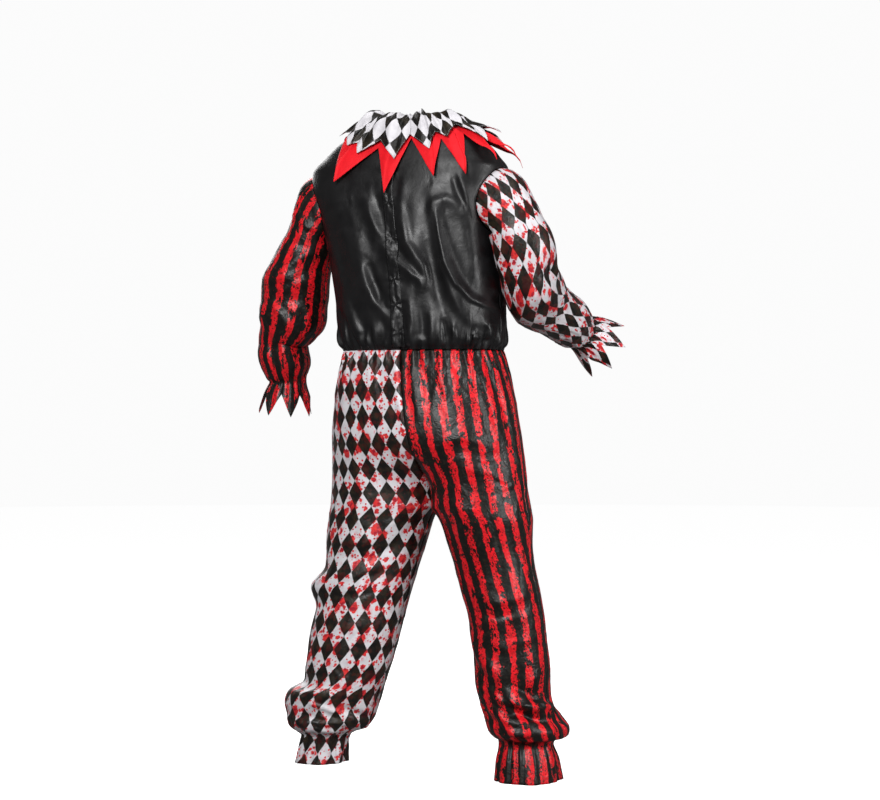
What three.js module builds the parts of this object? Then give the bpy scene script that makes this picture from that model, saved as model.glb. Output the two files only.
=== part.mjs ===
// Evil clown costume, worn: a one-piece suit with a black satin bodice, one striped and one
// harlequin sleeve, trousers in the two prints the other way round, and a two-tier pointed collar.
// Millimetres, +Z up. The wearer faces -Y, so +X is the wearer's left.
// The origin is the centre of the neck opening, level with its back edge.

import * as THREE from "three";

const CLOTH = 2; // wall of the cloth
const STRIP = 1.4; // wall of the lapped closure strip
const SEAM = 0.3; // gap between two pieces where they are sewn
const QUARTER = Math.PI / 2;
const TURN = 2 * Math.PI;

// Prints and cloths

const cloth = {
  satin: new THREE.MeshStandardMaterial({ color: 0x17171a, roughness: 0.4 }),
  stripes: new THREE.MeshStandardMaterial({ color: 0x8c1420, roughness: 0.45 }),
  harlequin: new THREE.MeshStandardMaterial({ color: 0x9a8f90, roughness: 0.5 }),
  red: new THREE.MeshStandardMaterial({ color: 0xe0202c, roughness: 0.6 }),
  check: new THREE.MeshStandardMaterial({ color: 0x8f8a8f, roughness: 0.5 }),
};

// Bodice: level sections from the neck to the waist seam. wide and deep are half sizes, and drop
// is how much higher the back of a section lies, and lower its front.
const WAIST = -508;
const TORSO = [
  { z: -22, x: 0, y: 0, wide: 66, deep: 60, drop: 22 },
  { z: -26, x: 1, y: 0, wide: 86, deep: 67, drop: 20 },
  { z: -34, x: 3, y: -1, wide: 120, deep: 76, drop: 17 },
  { z: -46, x: 6, y: -2, wide: 154, deep: 86, drop: 13 },
  { z: -62, x: 10, y: -3, wide: 180, deep: 95, drop: 9 },
  { z: -84, x: 15, y: -5, wide: 202, deep: 103, drop: 5 },
  { z: -112, x: 20, y: -6, wide: 226, deep: 109, drop: 2 },
  { z: -150, x: 22, y: -8, wide: 228, deep: 114, drop: 0 },
  { z: -190, x: 18, y: -8, wide: 219, deep: 118, drop: 0 },
  { z: -253, x: 10, y: -8, wide: 204, deep: 123, drop: 0 },
  { z: -320, x: 2, y: -8, wide: 196, deep: 127, drop: 0 },
  { z: -374, x: -3, y: -9, wide: 192, deep: 129, drop: 0 },
  { z: -427, x: -6, y: -10, wide: 189, deep: 130, drop: 0 },
  { z: -462, x: -8, y: -10, wide: 187, deep: 129, drop: 0 },
  { z: -485, x: -9, y: -10, wide: 182, deep: 124, drop: 0 },
  { z: -500, x: -10, y: -10, wide: 176, deep: 119, drop: 0 },
  { z: WAIST, x: -10, y: -10, wide: 174, deep: 117, drop: 0 },
];
const BODY_SQUARENESS = 0.18; // 0 is an ellipse; the back of a worn bodice is flatter
const ARMHOLE = { z: -187, tall: 75, reach: (36 * Math.PI) / 180, steps: 8 };

// Trousers: the hips from the waist seam to the fork, with the centre seam and both sides in x.
const SEAT = -670;
const FORK = -850;
const HIPS = [
  { z: WAIST, seam: -10, left: 164, right: -184, y: -10, deep: 117 },
  { z: -532, seam: -13, left: 172, right: -194, y: -10, deep: 124 },
  { z: -559, seam: -16, left: 180, right: -204, y: -10, deep: 131 },
  { z: -612, seam: -24, left: 191, right: -219, y: -10, deep: 140 },
  { z: -691, seam: -36, left: 200, right: -233, y: -10, deep: 146 },
  { z: -744, seam: -42, left: 199, right: -241, y: -10, deep: 146 },
  { z: -800, seam: -43, left: 199, right: -248, y: -10, deep: 142 },
  { z: FORK, seam: -42, left: 203, right: -256, y: -10, deep: 130 },
];
const HIP_SQUARENESS = 0.06;

// Each leg below the fork, with x counted outwards from the middle of the wearer. The last rows
// are the blouse, the tuck under it, the ankle elastic and the frill.
const LEG_LEFT = [
  { z: FORK, inner: -42, outer: 203, y: -10, deep: 112 },
  { z: -876, inner: -28, outer: 207, y: -8, deep: 109 },
  { z: -928, inner: -13, outer: 211, y: -3, deep: 104 },
  { z: -981, inner: 4, outer: 211, y: 1, deep: 99 },
  { z: -1034, inner: 18, outer: 239, y: 4, deep: 104 },
  { z: -1087, inner: 34, outer: 238, y: 9, deep: 98 },
  { z: -1140, inner: 45, outer: 246, y: 14, deep: 95 },
  { z: -1192, inner: 59, outer: 252, y: 18, deep: 92 },
  { z: -1236, inner: 76, outer: 264, y: 17, deep: 95 },
  { z: -1258, inner: 85, outer: 294, y: 16, deep: 102 },
  { z: -1288, inner: 97, outer: 306, y: 14, deep: 106 },
  { z: -1322, inner: 107, outer: 299, y: 16, deep: 101 },
  { z: -1341, inner: 122, outer: 290, y: 19, deep: 90 },
  { z: -1350, inner: 143, outer: 272, y: 27, deep: 70 },
  { z: -1359, inner: 156, outer: 259, y: 31, deep: 58 },
  { z: -1382, inner: 162, outer: 266, y: 29, deep: 60 },
  { z: -1419, inner: 166, outer: 275, y: 27, deep: 68 },
];
const LEG_RIGHT = [
  { z: FORK, inner: 42, outer: 256, y: -10, deep: 108 },
  { z: -876, inner: 60, outer: 260, y: -12, deep: 103 },
  { z: -928, inner: 76, outer: 258, y: -17, deep: 93 },
  { z: -981, inner: 90, outer: 264, y: -21, deep: 84 },
  { z: -1034, inner: 103, outer: 275, y: -25, deep: 83 },
  { z: -1087, inner: 119, outer: 283, y: -29, deep: 82 },
  { z: -1140, inner: 127, outer: 287, y: -33, deep: 80 },
  { z: -1192, inner: 128, outer: 292, y: -37, deep: 82 },
  { z: -1245, inner: 133, outer: 291, y: -41, deep: 82 },
  { z: -1280, inner: 141, outer: 297, y: -45, deep: 86 },
  { z: -1305, inner: 148, outer: 312, y: -56, deep: 96 },
  { z: -1330, inner: 154, outer: 326, y: -62, deep: 105 },
  { z: -1348, inner: 170, outer: 322, y: -62, deep: 92 },
  { z: -1354, inner: 178, outer: 302, y: -56, deep: 70 },
  { z: -1366, inner: 180, outer: 294, y: -53, deep: 60 },
  { z: -1395, inner: 175, outer: 303, y: -55, deep: 70 },
  { z: -1443, inner: 172, outer: 310, y: -58, deep: 80 },
];

// Each sleeve below the armhole: ring centres with x counted outwards, half sizes, and the plan
// angle of the wide axis. The last rows are the wrist elastic and the pointed cuff.
const SLEEVE_LEFT = [
  { x: 258, y: 6, z: -256, wide: 54, deep: 66, turn: 0 },
  { x: 287, y: 4, z: -328, wide: 68, deep: 72, turn: 0 },
  { x: 301, y: 2, z: -378, wide: 76, deep: 74, turn: 0 },
  { x: 311, y: 0, z: -425, wide: 74, deep: 72, turn: 0 },
  { x: 324, y: -2, z: -455, wide: 65, deep: 66, turn: 0 },
  { x: 337, y: -5, z: -482, wide: 53, deep: 58, turn: 0 },
  { x: 336, y: -8, z: -508, wide: 56, deep: 60, turn: 0 },
  { x: 331, y: -11, z: -534, wide: 56, deep: 57, turn: 0 },
  { x: 330, y: -14, z: -558, wide: 47, deep: 49, turn: 0 },
  { x: 329, y: -16, z: -574, wide: 40, deep: 41, turn: 0 },
  { x: 332, y: -18, z: -604, wide: 50, deep: 52, turn: 0 },
  { x: 336, y: -21, z: -648, wide: 60, deep: 64, turn: 0 },
];
const SLEEVE_RIGHT = [
  { x: 246, y: 24, z: -246, wide: 62, deep: 60, turn: -24 },
  { x: 258, y: 6, z: -296, wide: 68, deep: 66, turn: -24 },
  { x: 253, y: -28, z: -352, wide: 64, deep: 76, turn: -24 },
  { x: 250, y: -98, z: -394, wide: 64, deep: 68, turn: -24 },
  { x: 266, y: -150, z: -420, wide: 56, deep: 57, turn: -24 },
  { x: 275, y: -192, z: -436, wide: 56, deep: 54, turn: -24 },
  { x: 281, y: -232, z: -452, wide: 48, deep: 50, turn: -24 },
  { x: 287, y: -259, z: -462, wide: 40, deep: 42, turn: -24 },
  { x: 303, y: -290, z: -478, wide: 52, deep: 54, turn: -24 },
  { x: 322, y: -326, z: -499, wide: 66, deep: 72, turn: -24 },
];
const CUFF = { points: 7, notch: 0.42 }; // notch is the shortest share of the cuff's length

// Gathers at each elastic: how many waves go round, how high they are and how far they run.
const GATHER = {
  waist: { waves: 24, high: 3.4, up: 80, down: 110 },
  ankle: { waves: 12, high: 3, up: 60, frill: 6 },
  wrist: { waves: 14, high: 2.2, up: 42, frill: 3.5 },
};

// The largest folds. turn is the share of the way round, z the height, rise the height of the
// ridge, or the depth of a trough when negative. On the bodice turn 0 is the wearer's left side
// and 0.25 the centre back, on a leg 0 is the inseam, and on a sleeve 0 is the outer side.
const FOLDS = {
  bodice: [
    { turn: 0.16, z: -120, toTurn: 0.19, toZ: -430, broad: 25, rise: 6 },
    { turn: 0.21, z: -200, toTurn: 0.23, toZ: -440, broad: 20, rise: -5 },
    { turn: 0.29, z: -150, toTurn: 0.28, toZ: -380, broad: 22, rise: 5 },
    { turn: 0.33, z: -210, toTurn: 0.32, toZ: -450, broad: 22, rise: -6 },
    { turn: 0.37, z: -170, toTurn: 0.43, toZ: -430, broad: 24, rise: 7 },
    { turn: 0.1, z: -290, toTurn: 0.13, toZ: -470, broad: 22, rise: -5 },
    { turn: 0.62, z: -180, toTurn: 0.66, toZ: -440, broad: 26, rise: 6 },
    { turn: 0.7, z: -160, toTurn: 0.72, toZ: -400, broad: 24, rise: -5 },
    { turn: 0.8, z: -170, toTurn: 0.78, toZ: -430, broad: 26, rise: 6 },
    { turn: 0.88, z: -240, toTurn: 0.85, toZ: -450, broad: 24, rise: -5 },
  ],
  legLeft: [
    { turn: 0.32, z: -1010, toTurn: 0.55, toZ: -1040, broad: 22, rise: 8 },
    { turn: 0.24, z: -1050, toTurn: 0.5, toZ: -1082, broad: 20, rise: -7 },
    { turn: 0.2, z: -690, toTurn: 0.3, toZ: -960, broad: 30, rise: 5 },
    { turn: 0.08, z: -920, toTurn: 0.2, toZ: -1000, broad: 26, rise: -6 },
    { turn: 0.3, z: -1232, toTurn: 0.62, toZ: -1250, broad: 17, rise: -8 },
    { turn: 0.12, z: -1300, toTurn: 0.42, toZ: -1312, broad: 15, rise: -6 },
    { turn: 0.75, z: -700, toTurn: 0.68, toZ: -980, broad: 30, rise: 6 },
    { turn: 0.66, z: -1060, toTurn: 0.92, toZ: -1040, broad: 24, rise: -7 },
  ],
  legRight: [
    { turn: 0.22, z: -660, toTurn: 0.28, toZ: -960, broad: 28, rise: 5 },
    { turn: 0.36, z: -700, toTurn: 0.42, toZ: -1010, broad: 26, rise: -5 },
    { turn: 0.06, z: -1120, toTurn: 0.3, toZ: -1235, broad: 19, rise: 6 },
    { turn: 0.1, z: -1180, toTurn: 0.32, toZ: -1268, broad: 18, rise: -7 },
    { turn: 0.45, z: -1200, toTurn: 0.24, toZ: -1285, broad: 17, rise: 6 },
    { turn: 0.3, z: -1300, toTurn: 0.6, toZ: -1316, broad: 15, rise: -7 },
    { turn: 0.72, z: -690, toTurn: 0.66, toZ: -980, broad: 30, rise: 6 },
    { turn: 0.62, z: -1075, toTurn: 0.9, toZ: -1050, broad: 24, rise: -6 },
  ],
  sleeveLeft: [
    { turn: 0.95, z: -355, toTurn: 0.6, toZ: -330, broad: 20, rise: 7 },
    { turn: 0.95, z: -400, toTurn: 0.6, toZ: -378, broad: 18, rise: -7 },
    { turn: 0.35, z: -420, toTurn: 0.65, toZ: -440, broad: 18, rise: 6 },
    { turn: 0.95, z: -470, toTurn: 0.7, toZ: -496, broad: 14, rise: -5 },
  ],
  sleeveRight: [
    { turn: 0.3, z: -320, toTurn: 0.55, toZ: -340, broad: 18, rise: -7 },
    { turn: 0.8, z: -330, toTurn: 0.58, toZ: -400, broad: 20, rise: 6 },
    { turn: 0.83, z: -322, toTurn: 1.05, toZ: -334, broad: 17, rise: -15 },
    { turn: 0.05, z: -380, toTurn: 0.3, toZ: -400, broad: 18, rise: 5 },
  ],
};

// Collar: the points of each tier and the notch after each. Ways are angles round the neck in
// degrees, from the wearer's left through the back; reaches are measured down over the shoulders;
// lift is how far a tip stands off them. It opens at the back.
const OPENING = { way: 101, under: 65, over: 60 };
const UNDER_POINTS = [
  { way: 115, reach: 164, lift: 9, notchWay: 121, notch: 85 },
  { way: 134, reach: 182, lift: 10, notchWay: 143, notch: 90 },
  { way: 155, reach: 170, lift: 22, notchWay: 163, notch: 98 },
  { way: 172, reach: 172, lift: 34, notchWay: 185, notch: 92 },
  { way: 200, reach: 168, lift: 22, notchWay: 214, notch: 82 },
  { way: 228, reach: 165, lift: 10, notchWay: 242, notch: 78 },
  { way: 256, reach: 165, lift: 9, notchWay: 270, notch: 76 },
  { way: 284, reach: 165, lift: 9, notchWay: 298, notch: 78 },
  { way: 312, reach: 160, lift: 8, notchWay: 326, notch: 82 },
  { way: 340, reach: 150, lift: 3, notchWay: 402, notch: 90 },
  { way: 422, reach: 194, lift: 8, notchWay: 442, notch: 88 },
  { way: 450, reach: 185, lift: 9, notchWay: 461, notch: OPENING.under },
];
const OVER_POINTS = [
  { way: 113, reach: 103, lift: 6, notchWay: 118, notch: 72 },
  { way: 126, reach: 92, lift: 6, notchWay: 139, notch: 70 },
  { way: 154, reach: 132, lift: 22, notchWay: 166, notch: 78 },
  { way: 178, reach: 116, lift: 28, notchWay: 191, notch: 74 },
  { way: 205, reach: 112, lift: 16, notchWay: 218, notch: 70 },
  { way: 233, reach: 108, lift: 6, notchWay: 247, notch: 68 },
  { way: 260, reach: 106, lift: 5, notchWay: 273, notch: 66 },
  { way: 287, reach: 108, lift: 5, notchWay: 301, notch: 68 },
  { way: 316, reach: 110, lift: 5, notchWay: 332, notch: 72 },
  { way: 350, reach: 108, lift: 4, notchWay: 372, notch: 76 },
  { way: 396, reach: 104, lift: 4, notchWay: 408, notch: 84 },
  { way: 421, reach: 110, lift: 5, notchWay: 427, notch: 94 },
  { way: 432, reach: 116, lift: 6, notchWay: 443, notch: 74 },
  { way: 454, reach: 110, lift: 6, notchWay: 461, notch: OPENING.over },
];
const TIER = {
  under: { notch: OPENING.under, base: 4, neck: 0.7, ruffle: 1.2, slack: 0 },
  over: { notch: OPENING.over, base: 9, neck: 3.4, ruffle: 7, slack: 0.35 },
};
const PLACKET = { half: 14, top: -40, bottom: -502, gap: 0.9 };

// Smooth values between the rows of a table

function through(rows, column, knot) {
  const at = rows.map((row, i) => (knot ? row[knot] : i));
  const value = rows.map((row) => row[column]);
  const slope = at.slice(1).map((x, i) => (value[i + 1] - value[i]) / (x - at[i]));
  const tangent = at.map((_, i) => {
    if (i === 0) return slope[0];
    if (i === at.length - 1) return slope[i - 1];
    const before = slope[i - 1];
    const after = slope[i];
    return before * after <= 0 ? 0 : (2 * before * after) / (before + after);
  });
  const down = at[1] < at[0];
  return (x) => {
    let i = 0;
    while (i < at.length - 2 && (down ? x < at[i + 1] : x > at[i + 1])) i++;
    const step = at[i + 1] - at[i];
    const t = (x - at[i]) / step;
    const s = 1 - t;
    return (
      s * s * (1 + 2 * t) * value[i] +
      t * s * s * step * tangent[i] +
      t * t * (3 - 2 * t) * value[i + 1] -
      t * t * s * step * tangent[i + 1]
    );
  };
}

function columns(rows, names, knot) {
  return Object.fromEntries(names.map((name) => [name, through(rows, name, knot)]));
}

const clamp = (x, low, high) => Math.min(high, Math.max(low, x));
const mix = (a, b, share) => a + (b - a) * share;

function ease(from, to, x) {
  const t = clamp((x - from) / (to - from), 0, 1);
  return t * t * (3 - 2 * t);
}

// Rise of the folds at a place: girth turns a share of the way round into millimetres.
function foldRise(folds, turn, z, girth) {
  let rise = 0;
  for (const fold of folds) {
    const across = (fold.toTurn - fold.turn) * girth;
    const along = fold.toZ - fold.z;
    const dx = ((((turn - fold.turn + 0.5) % 1) + 1) % 1 - 0.5) * girth;
    const dz = z - fold.z;
    const t = clamp((dx * across + dz * along) / (across * across + along * along), 0, 1);
    const off = Math.hypot(dx - t * across, dz - t * along) / fold.broad;
    rise += fold.rise * Math.exp(-off * off) * (0.4 + 0.6 * Math.sin(Math.PI * t));
  }
  return rise;
}

// Bodice surface

const torso = columns(TORSO, ["x", "y", "wide", "deep", "drop"], "z");

function plan(angle, squareness) {
  const c = Math.cos(angle);
  const s = Math.sin(angle);
  return { c: c * (1 + squareness * s * s), s: s * (1 + squareness * c * c) };
}

function waistWave(angle) {
  return GATHER.waist.high * Math.cos(GATHER.waist.waves * angle);
}

function outward(surface, u, v, du, dv) {
  const a = surface(u + du, v).sub(surface(u - du, v));
  const b = surface(u, v + dv).sub(surface(u, v - dv));
  return a.cross(b).normalize();
}

function bareTorso(angle, z) {
  const { c, s } = plan(angle, BODY_SQUARENESS);
  return new THREE.Vector3(
    torso.x(z) + torso.wide(z) * c,
    torso.y(z) + torso.deep(z) * s,
    z + torso.drop(z) * Math.sin(angle),
  );
}

function bodice(angle, z) {
  const point = bareTorso(angle, z);
  const fade = ease(WAIST + GATHER.waist.up, WAIST, z);
  const seams = Math.abs(Math.sin(angle)) * ease(0, 0.25, Math.abs(Math.cos(angle)));
  const turn = (((angle / TURN) % 1) + 1) % 1;
  const folds = foldRise(FOLDS.bodice, turn, z, 1050) * ease(WAIST, WAIST + 60, z);
  const rise = waistWave(angle) * fade + folds * mix(0.3, 1, seams);
  const flat = new THREE.Vector3(torso.deep(z) * Math.cos(angle), torso.wide(z) * Math.sin(angle), 0);
  return point.addScaledVector(flat.normalize(), rise);
}

// How far out the bodice's side reaches at a place beside it, for keeping the sleeves clear.
function torsoReach(side, y, z) {
  const across = clamp((y - torso.y(z)) / torso.deep(z), -1, 1);
  let angle = Math.asin(across);
  for (let i = 0; i < 4; i++) {
    angle -= (plan(angle, BODY_SQUARENESS).s - across) / Math.max(0.3, Math.cos(angle));
  }
  return side * torso.x(z) + torso.wide(z) * plan(angle, BODY_SQUARENESS).c;
}

// Trouser surface. turn runs from the centre back seam and inseam, 0, round the outer side, 0.5,
// to the centre front seam and inseam, 1. level is z above the fork and a row number below it.

const hips = columns(HIPS, ["seam", "left", "right", "y", "deep"], "z");

function trouserLeg(side, rows, folds) {
  const leg = columns(rows, ["z", "inner", "outer", "y", "deep"]);
  const last = rows.length - 1;
  const elastic = last - 2;
  const ankleZ = rows[elastic].z;
  const deepAtFork = rows[0].deep;
  return (turn, level) => {
    const below = level >= 0;
    const z = below ? leg.z(level) : FORK + level * (FORK - WAIST);
    const share = below ? 1 : Math.pow(ease(SEAT, FORK, z), 1.5);
    const tube = plan(Math.PI - TURN * turn, 0.04);
    const inner = below ? leg.inner(level) : side * hips.seam(z);
    const outer = below ? leg.outer(level) : side * (side > 0 ? hips.left(z) : hips.right(z));
    const middle = (inner + outer) / 2;
    const deep = below ? leg.deep(level) : mix(hips.deep(z) * 0.8, deepAtFork, share);
    const y = below ? leg.y(level) : hips.y(z);
    let px = middle + ((outer - inner) / 2) * tube.c;
    let py = y + deep * tube.s;
    const angle = QUARTER - Math.PI * turn;
    if (!below) {
      const squareness = mix(BODY_SQUARENESS, HIP_SQUARENESS, ease(WAIST, SEAT, z));
      const half = plan(angle, squareness);
      px = mix(inner + (outer - inner) * half.c, px, share);
      py = mix(y + hips.deep(z) * half.s, py, share);
    }
    const facing = new THREE.Vector3(
      mix(Math.cos(angle), Math.cos(Math.PI - TURN * turn), share),
      mix(Math.sin(angle), Math.sin(Math.PI - TURN * turn), share),
      0,
    ).normalize();
    const seamFade = ease(0, 0.05, turn) * ease(1, 0.95, turn);
    let rise = foldRise(folds, turn, z, 620) * seamFade;
    rise *= ease(WAIST, WAIST - 50, z) * ease(ankleZ, ankleZ + 25, z);
    if (!below) rise += waistWave(angle) * ease(WAIST - GATHER.waist.down, WAIST, z);
    const ankleWave = Math.cos(TURN * GATHER.ankle.waves * turn);
    if (below && level <= elastic) {
      rise += GATHER.ankle.high * ankleWave * ease(ankleZ + GATHER.ankle.up, ankleZ, z);
    } else if (below) {
      const share = (level - elastic) / (last - elastic);
      rise += mix(GATHER.ankle.high, GATHER.ankle.frill, share) * ankleWave;
    }
    return new THREE.Vector3(px, py, z).addScaledVector(facing, rise);
  };
}

// Sleeve surface. turn runs from the outer side, 0, through the front, 0.25, the underarm seam,
// 0.5, and the back, 0.75. level runs from -1 at the armhole to 0 at the first ring of the table,
// and then is a row number; on the cuff it stops short between the points.

function armholePoint(side, turn, shrink) {
  const angle = -shrink * ARMHOLE.reach * Math.sin(TURN * turn);
  const z = ARMHOLE.z + shrink * ARMHOLE.tall * Math.cos(TURN * turn);
  const point = bodice(side > 0 ? angle : Math.PI - angle, z);
  return point.setX(side * point.x);
}

function armholeNormal(side, turn) {
  const angle = -ARMHOLE.reach * Math.sin(TURN * turn);
  const z = ARMHOLE.z + ARMHOLE.tall * Math.cos(TURN * turn);
  const normal = outward(bodice, side > 0 ? angle : Math.PI - angle, z, 0.006, 1);
  normal.x *= side;
  return normal.x < 0 ? normal.negate() : normal;
}

function sleeve(side, rows, folds) {
  const ring = columns(rows, ["x", "y", "z", "wide", "deep", "turn"]);
  const last = rows.length - 1;
  const elastic = last - 2;
  const centre = (level) => new THREE.Vector3(ring.x(level), ring.y(level), ring.z(level));
  const ringPoint = (turn, level) => {
    const along = centre(level + 0.3).sub(centre(level - 0.3)).normalize();
    const plane = (ring.turn(level) * Math.PI) / 180;
    const out = new THREE.Vector3(Math.cos(plane), Math.sin(plane), 0);
    out.addScaledVector(along, -out.dot(along)).normalize();
    const front = along.clone().cross(out);
    const { c, s } = plan(TURN * turn, 0.05);
    const facing = out.clone().multiplyScalar(c).addScaledVector(front, s);
    let rise = foldRise(folds, turn, ring.z(level), 420) * ease(0.48, 0.4, Math.abs(turn - 0.5));
    rise *= ease(elastic, elastic - 1, level) * ease(-0.2, 0.6, level);
    const wave = Math.cos(TURN * GATHER.wrist.waves * turn);
    const frill = clamp((level - elastic) / (last - elastic), 0, 1);
    const away = centre(Math.min(level, elastic)).distanceTo(centre(elastic));
    rise += mix(GATHER.wrist.high, GATHER.wrist.frill, frill) * wave * ease(GATHER.wrist.up, 0, away);
    return centre(level)
      .addScaledVector(out, ring.wide(level) * c)
      .addScaledVector(front, ring.deep(level) * s)
      .addScaledVector(facing.normalize(), rise);
  };
  const clearance = (point, gap) => {
    const reach = torsoReach(side, point.y, point.z) + gap;
    const inside = reach - point.x;
    if (point.z < -110 && Math.abs(point.y) < 130 && inside > 0) point.x += inside;
    return point;
  };
  return (turn, level) => {
    if (level >= 0) return clearance(ringPoint(turn, level), 7);
    const t = level + 1;
    const start = armholePoint(side, turn, 1 - SEAM / ARMHOLE.tall);
    const end = clearance(ringPoint(turn, 0), 7);
    const span = start.distanceTo(end);
    const leave = new THREE.Vector3(1, 0, -0.3 - 0.3 * ease(0.2, 0.5, 0.5 - Math.abs(turn - 0.5)));
    const arrive = ringPoint(turn, 0.05).sub(ringPoint(turn, 0)).normalize();
    const s = 1 - t;
    const point = start.clone().multiplyScalar(s * s * (1 + 2 * t));
    point.addScaledVector(leave.normalize(), 1.1 * span * t * s * s);
    point.addScaledVector(end, t * t * (3 - 2 * t));
    point.addScaledVector(arrive, -span * t * t * s);
    return t > 0.3 ? clearance(point, 7 * ease(0.3, 1, t)) : point;
  };
}

// Collar surface: a place is an angle round the neck and a reach down over the shoulders.

const SHOULDER_STEP = 4;

function overShoulder(angle, reach, lift) {
  let z = TORSO[0].z;
  let gone = 0;
  let here = bodice(angle, z);
  while (gone < reach) {
    const next = bodice(angle, z - SHOULDER_STEP);
    const step = next.distanceTo(here);
    if (gone + step >= reach) {
      z -= (SHOULDER_STEP * (reach - gone)) / step;
      here = bodice(angle, z);
      break;
    }
    gone += step;
    z -= SHOULDER_STEP;
    here = next;
  }
  const normal = outward(bodice, angle, Math.min(z, TORSO[0].z - 1), 0.01, 1);
  if (normal.dot(new THREE.Vector3(Math.cos(angle), Math.sin(angle), 0.6)) < 0) normal.negate();
  return here.addScaledVector(normal, lift);
}

// The zigzag edge of a tier: notches and points by turns, with the lift of each.
function tierEdge(points, tier) {
  const edge = [{ way: OPENING.way, reach: tier.notch, lift: 0 }];
  for (const { way, reach, lift, notchWay, notch } of points) {
    edge.push({ way, reach, lift }, { way: notchWay, reach: notch, lift: lift * tier.slack });
  }
  return edge;
}

// A place on the straight edge from a notch to a point, as on the flat collar round its neck.
const NECK_RADIUS = 64;

function straightEdge(a, b, t) {
  const from = (a.way * Math.PI) / 180;
  const turned = ((b.way - a.way) * Math.PI) / 180;
  const near = NECK_RADIUS + a.reach;
  const far = NECK_RADIUS + b.reach;
  const x = mix(near, far * Math.cos(turned), t);
  const y = mix(0, far * Math.sin(turned), t);
  return { way: from + Math.atan2(y, x), reach: Math.hypot(x, y) - NECK_RADIUS };
}

function collarTier(points, tier, perSide, steps) {
  const edge = tierEdge(points, tier);
  const last = edge.length - 1;
  const surface = (place, share) => {
    const i = clamp(Math.floor(place), 0, last - 1);
    const t = place - i;
    const along = straightEdge(edge[i], edge[i + 1], t);
    const reach = along.reach * share;
    const lift = mix(edge[i].lift, edge[i + 1].lift, ease(0, 1, t)) * share * share;
    const way = along.way;
    const root = mix(tier.neck, tier.base, ease(0, 40, reach));
    const ends = ease(0, 1, place) * ease(last, last - 1, place);
    const wave = 0.5 - 0.5 * Math.cos(TURN * place);
    const ruffle = tier.ruffle * wave * ends * ease(0, 30, reach) * ease(140, 50, reach);
    return overShoulder(way, reach, root + lift + ruffle + CLOTH);
  };
  const places = even(last * perSide).map((share) => share * last);
  const row = (share) =>
    places.map((place) => {
      const outer = surface(clamp(place, 0.002, last - 0.002), share);
      const near = clamp(place, 0.02, last - 0.02);
      const normal = outward(surface, near, Math.max(0.03, share), 0.01, 0.02);
      if (normal.dot(outer.clone().setZ(120)) < 0) normal.negate();
      return { outer, inner: outer.clone().addScaledVector(normal, -CLOTH) };
    });
  return wall(
    even(steps).map((share) => row(Math.pow(share, 1.5))),
    false,
  );
}

// Walls: rows of outer and inner points, which may differ in number from row to row

function stitch(push, a, b, pick) {
  const place = (row, i) => i / (row.length - 1);
  let i = 0;
  let j = 0;
  while (i < a.length - 1 || j < b.length - 1) {
    const ahead = i < a.length - 1 ? place(a, i + 1) : 2;
    const behind = j < b.length - 1 ? place(b, j + 1) : 2;
    if (ahead <= behind) {
      push(pick(a[i]), pick(a[i + 1]), pick(b[j]));
      i++;
    } else {
      push(pick(a[i]), pick(b[j + 1]), pick(b[j]));
      j++;
    }
  }
}

function wall(rows, closed) {
  const triangles = [];
  const push = (a, b, c) => triangles.push([a, b, c]);
  const pushBack = (a, b, c) => triangles.push([a, c, b]);
  const quad = (a, b, c, d) => triangles.push([a, b, c], [a, c, d]);
  for (let r = 0; r + 1 < rows.length; r++) {
    stitch(push, rows[r], rows[r + 1], (p) => p.outer);
    stitch(pushBack, rows[r], rows[r + 1], (p) => p.inner);
    if (closed) continue;
    const [a, b] = [rows[r][0], rows[r + 1][0]];
    const [c, d] = [rows[r][rows[r].length - 1], rows[r + 1][rows[r + 1].length - 1]];
    quad(a.inner, a.outer, b.outer, b.inner);
    quad(c.outer, c.inner, d.inner, d.outer);
  }
  const first = rows[0];
  const last = rows[rows.length - 1];
  for (let i = 0; i + 1 < first.length; i++) {
    quad(first[i].outer, first[i].inner, first[i + 1].inner, first[i + 1].outer);
  }
  for (let i = 0; i + 1 < last.length; i++) {
    quad(last[i].inner, last[i].outer, last[i + 1].outer, last[i + 1].inner);
  }
  let volume = 0;
  for (const [a, b, c] of triangles) volume += a.dot(b.clone().cross(c));
  if (volume < 0) triangles.forEach((t) => t.reverse());
  const flat = triangles.flatMap((t) => t.flatMap((p) => [p.x, p.y, p.z]));
  return new THREE.BufferGeometry().setAttribute(
    "position",
    new THREE.Float32BufferAttribute(flat, 3),
  );
}

// The points of one row on a surface, trimmed back from the seams at both ends. places are shares
// of the way from one end to the other; facing tells which way is out.
function rowPoints(surface, row, { du = 0.004, dv, facing }) {
  const { level, from, to, places } = row;
  const trim = (u, way) => {
    const speed = surface(u + du, level).distanceTo(surface(u - du, level)) / (2 * du);
    return u + (way * SEAM) / 2 / Math.max(speed, 1e-3);
  };
  const start = trim(from, Math.sign(to - from));
  const end = trim(to, Math.sign(from - to));
  return places.map((place) => {
    const u = mix(start, end, place);
    const outer = surface(u, level);
    const normal = outward(surface, u, level, du, dv);
    if (facing(outer, normal, u) < 0) normal.negate();
    return { outer, normal, inner: outer.clone().addScaledVector(normal, -CLOTH) };
  });
}

const even = (count) => Array.from({ length: count + 1 }, (_, i) => i / count);

function mirrored(geometry) {
  const place = geometry.getAttribute("position");
  const flat = [];
  for (let i = 0; i < place.count; i += 3) {
    for (const k of [i, i + 2, i + 1]) flat.push(-place.getX(k), place.getY(k), place.getZ(k));
  }
  return new THREE.BufferGeometry().setAttribute(
    "position",
    new THREE.Float32BufferAttribute(flat, 3),
  );
}

const costume = new THREE.Group();

function sew(name, geometry, material) {
  const mesh = new THREE.Mesh(geometry, material);
  mesh.name = name;
  costume.add(mesh);
}

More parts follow.
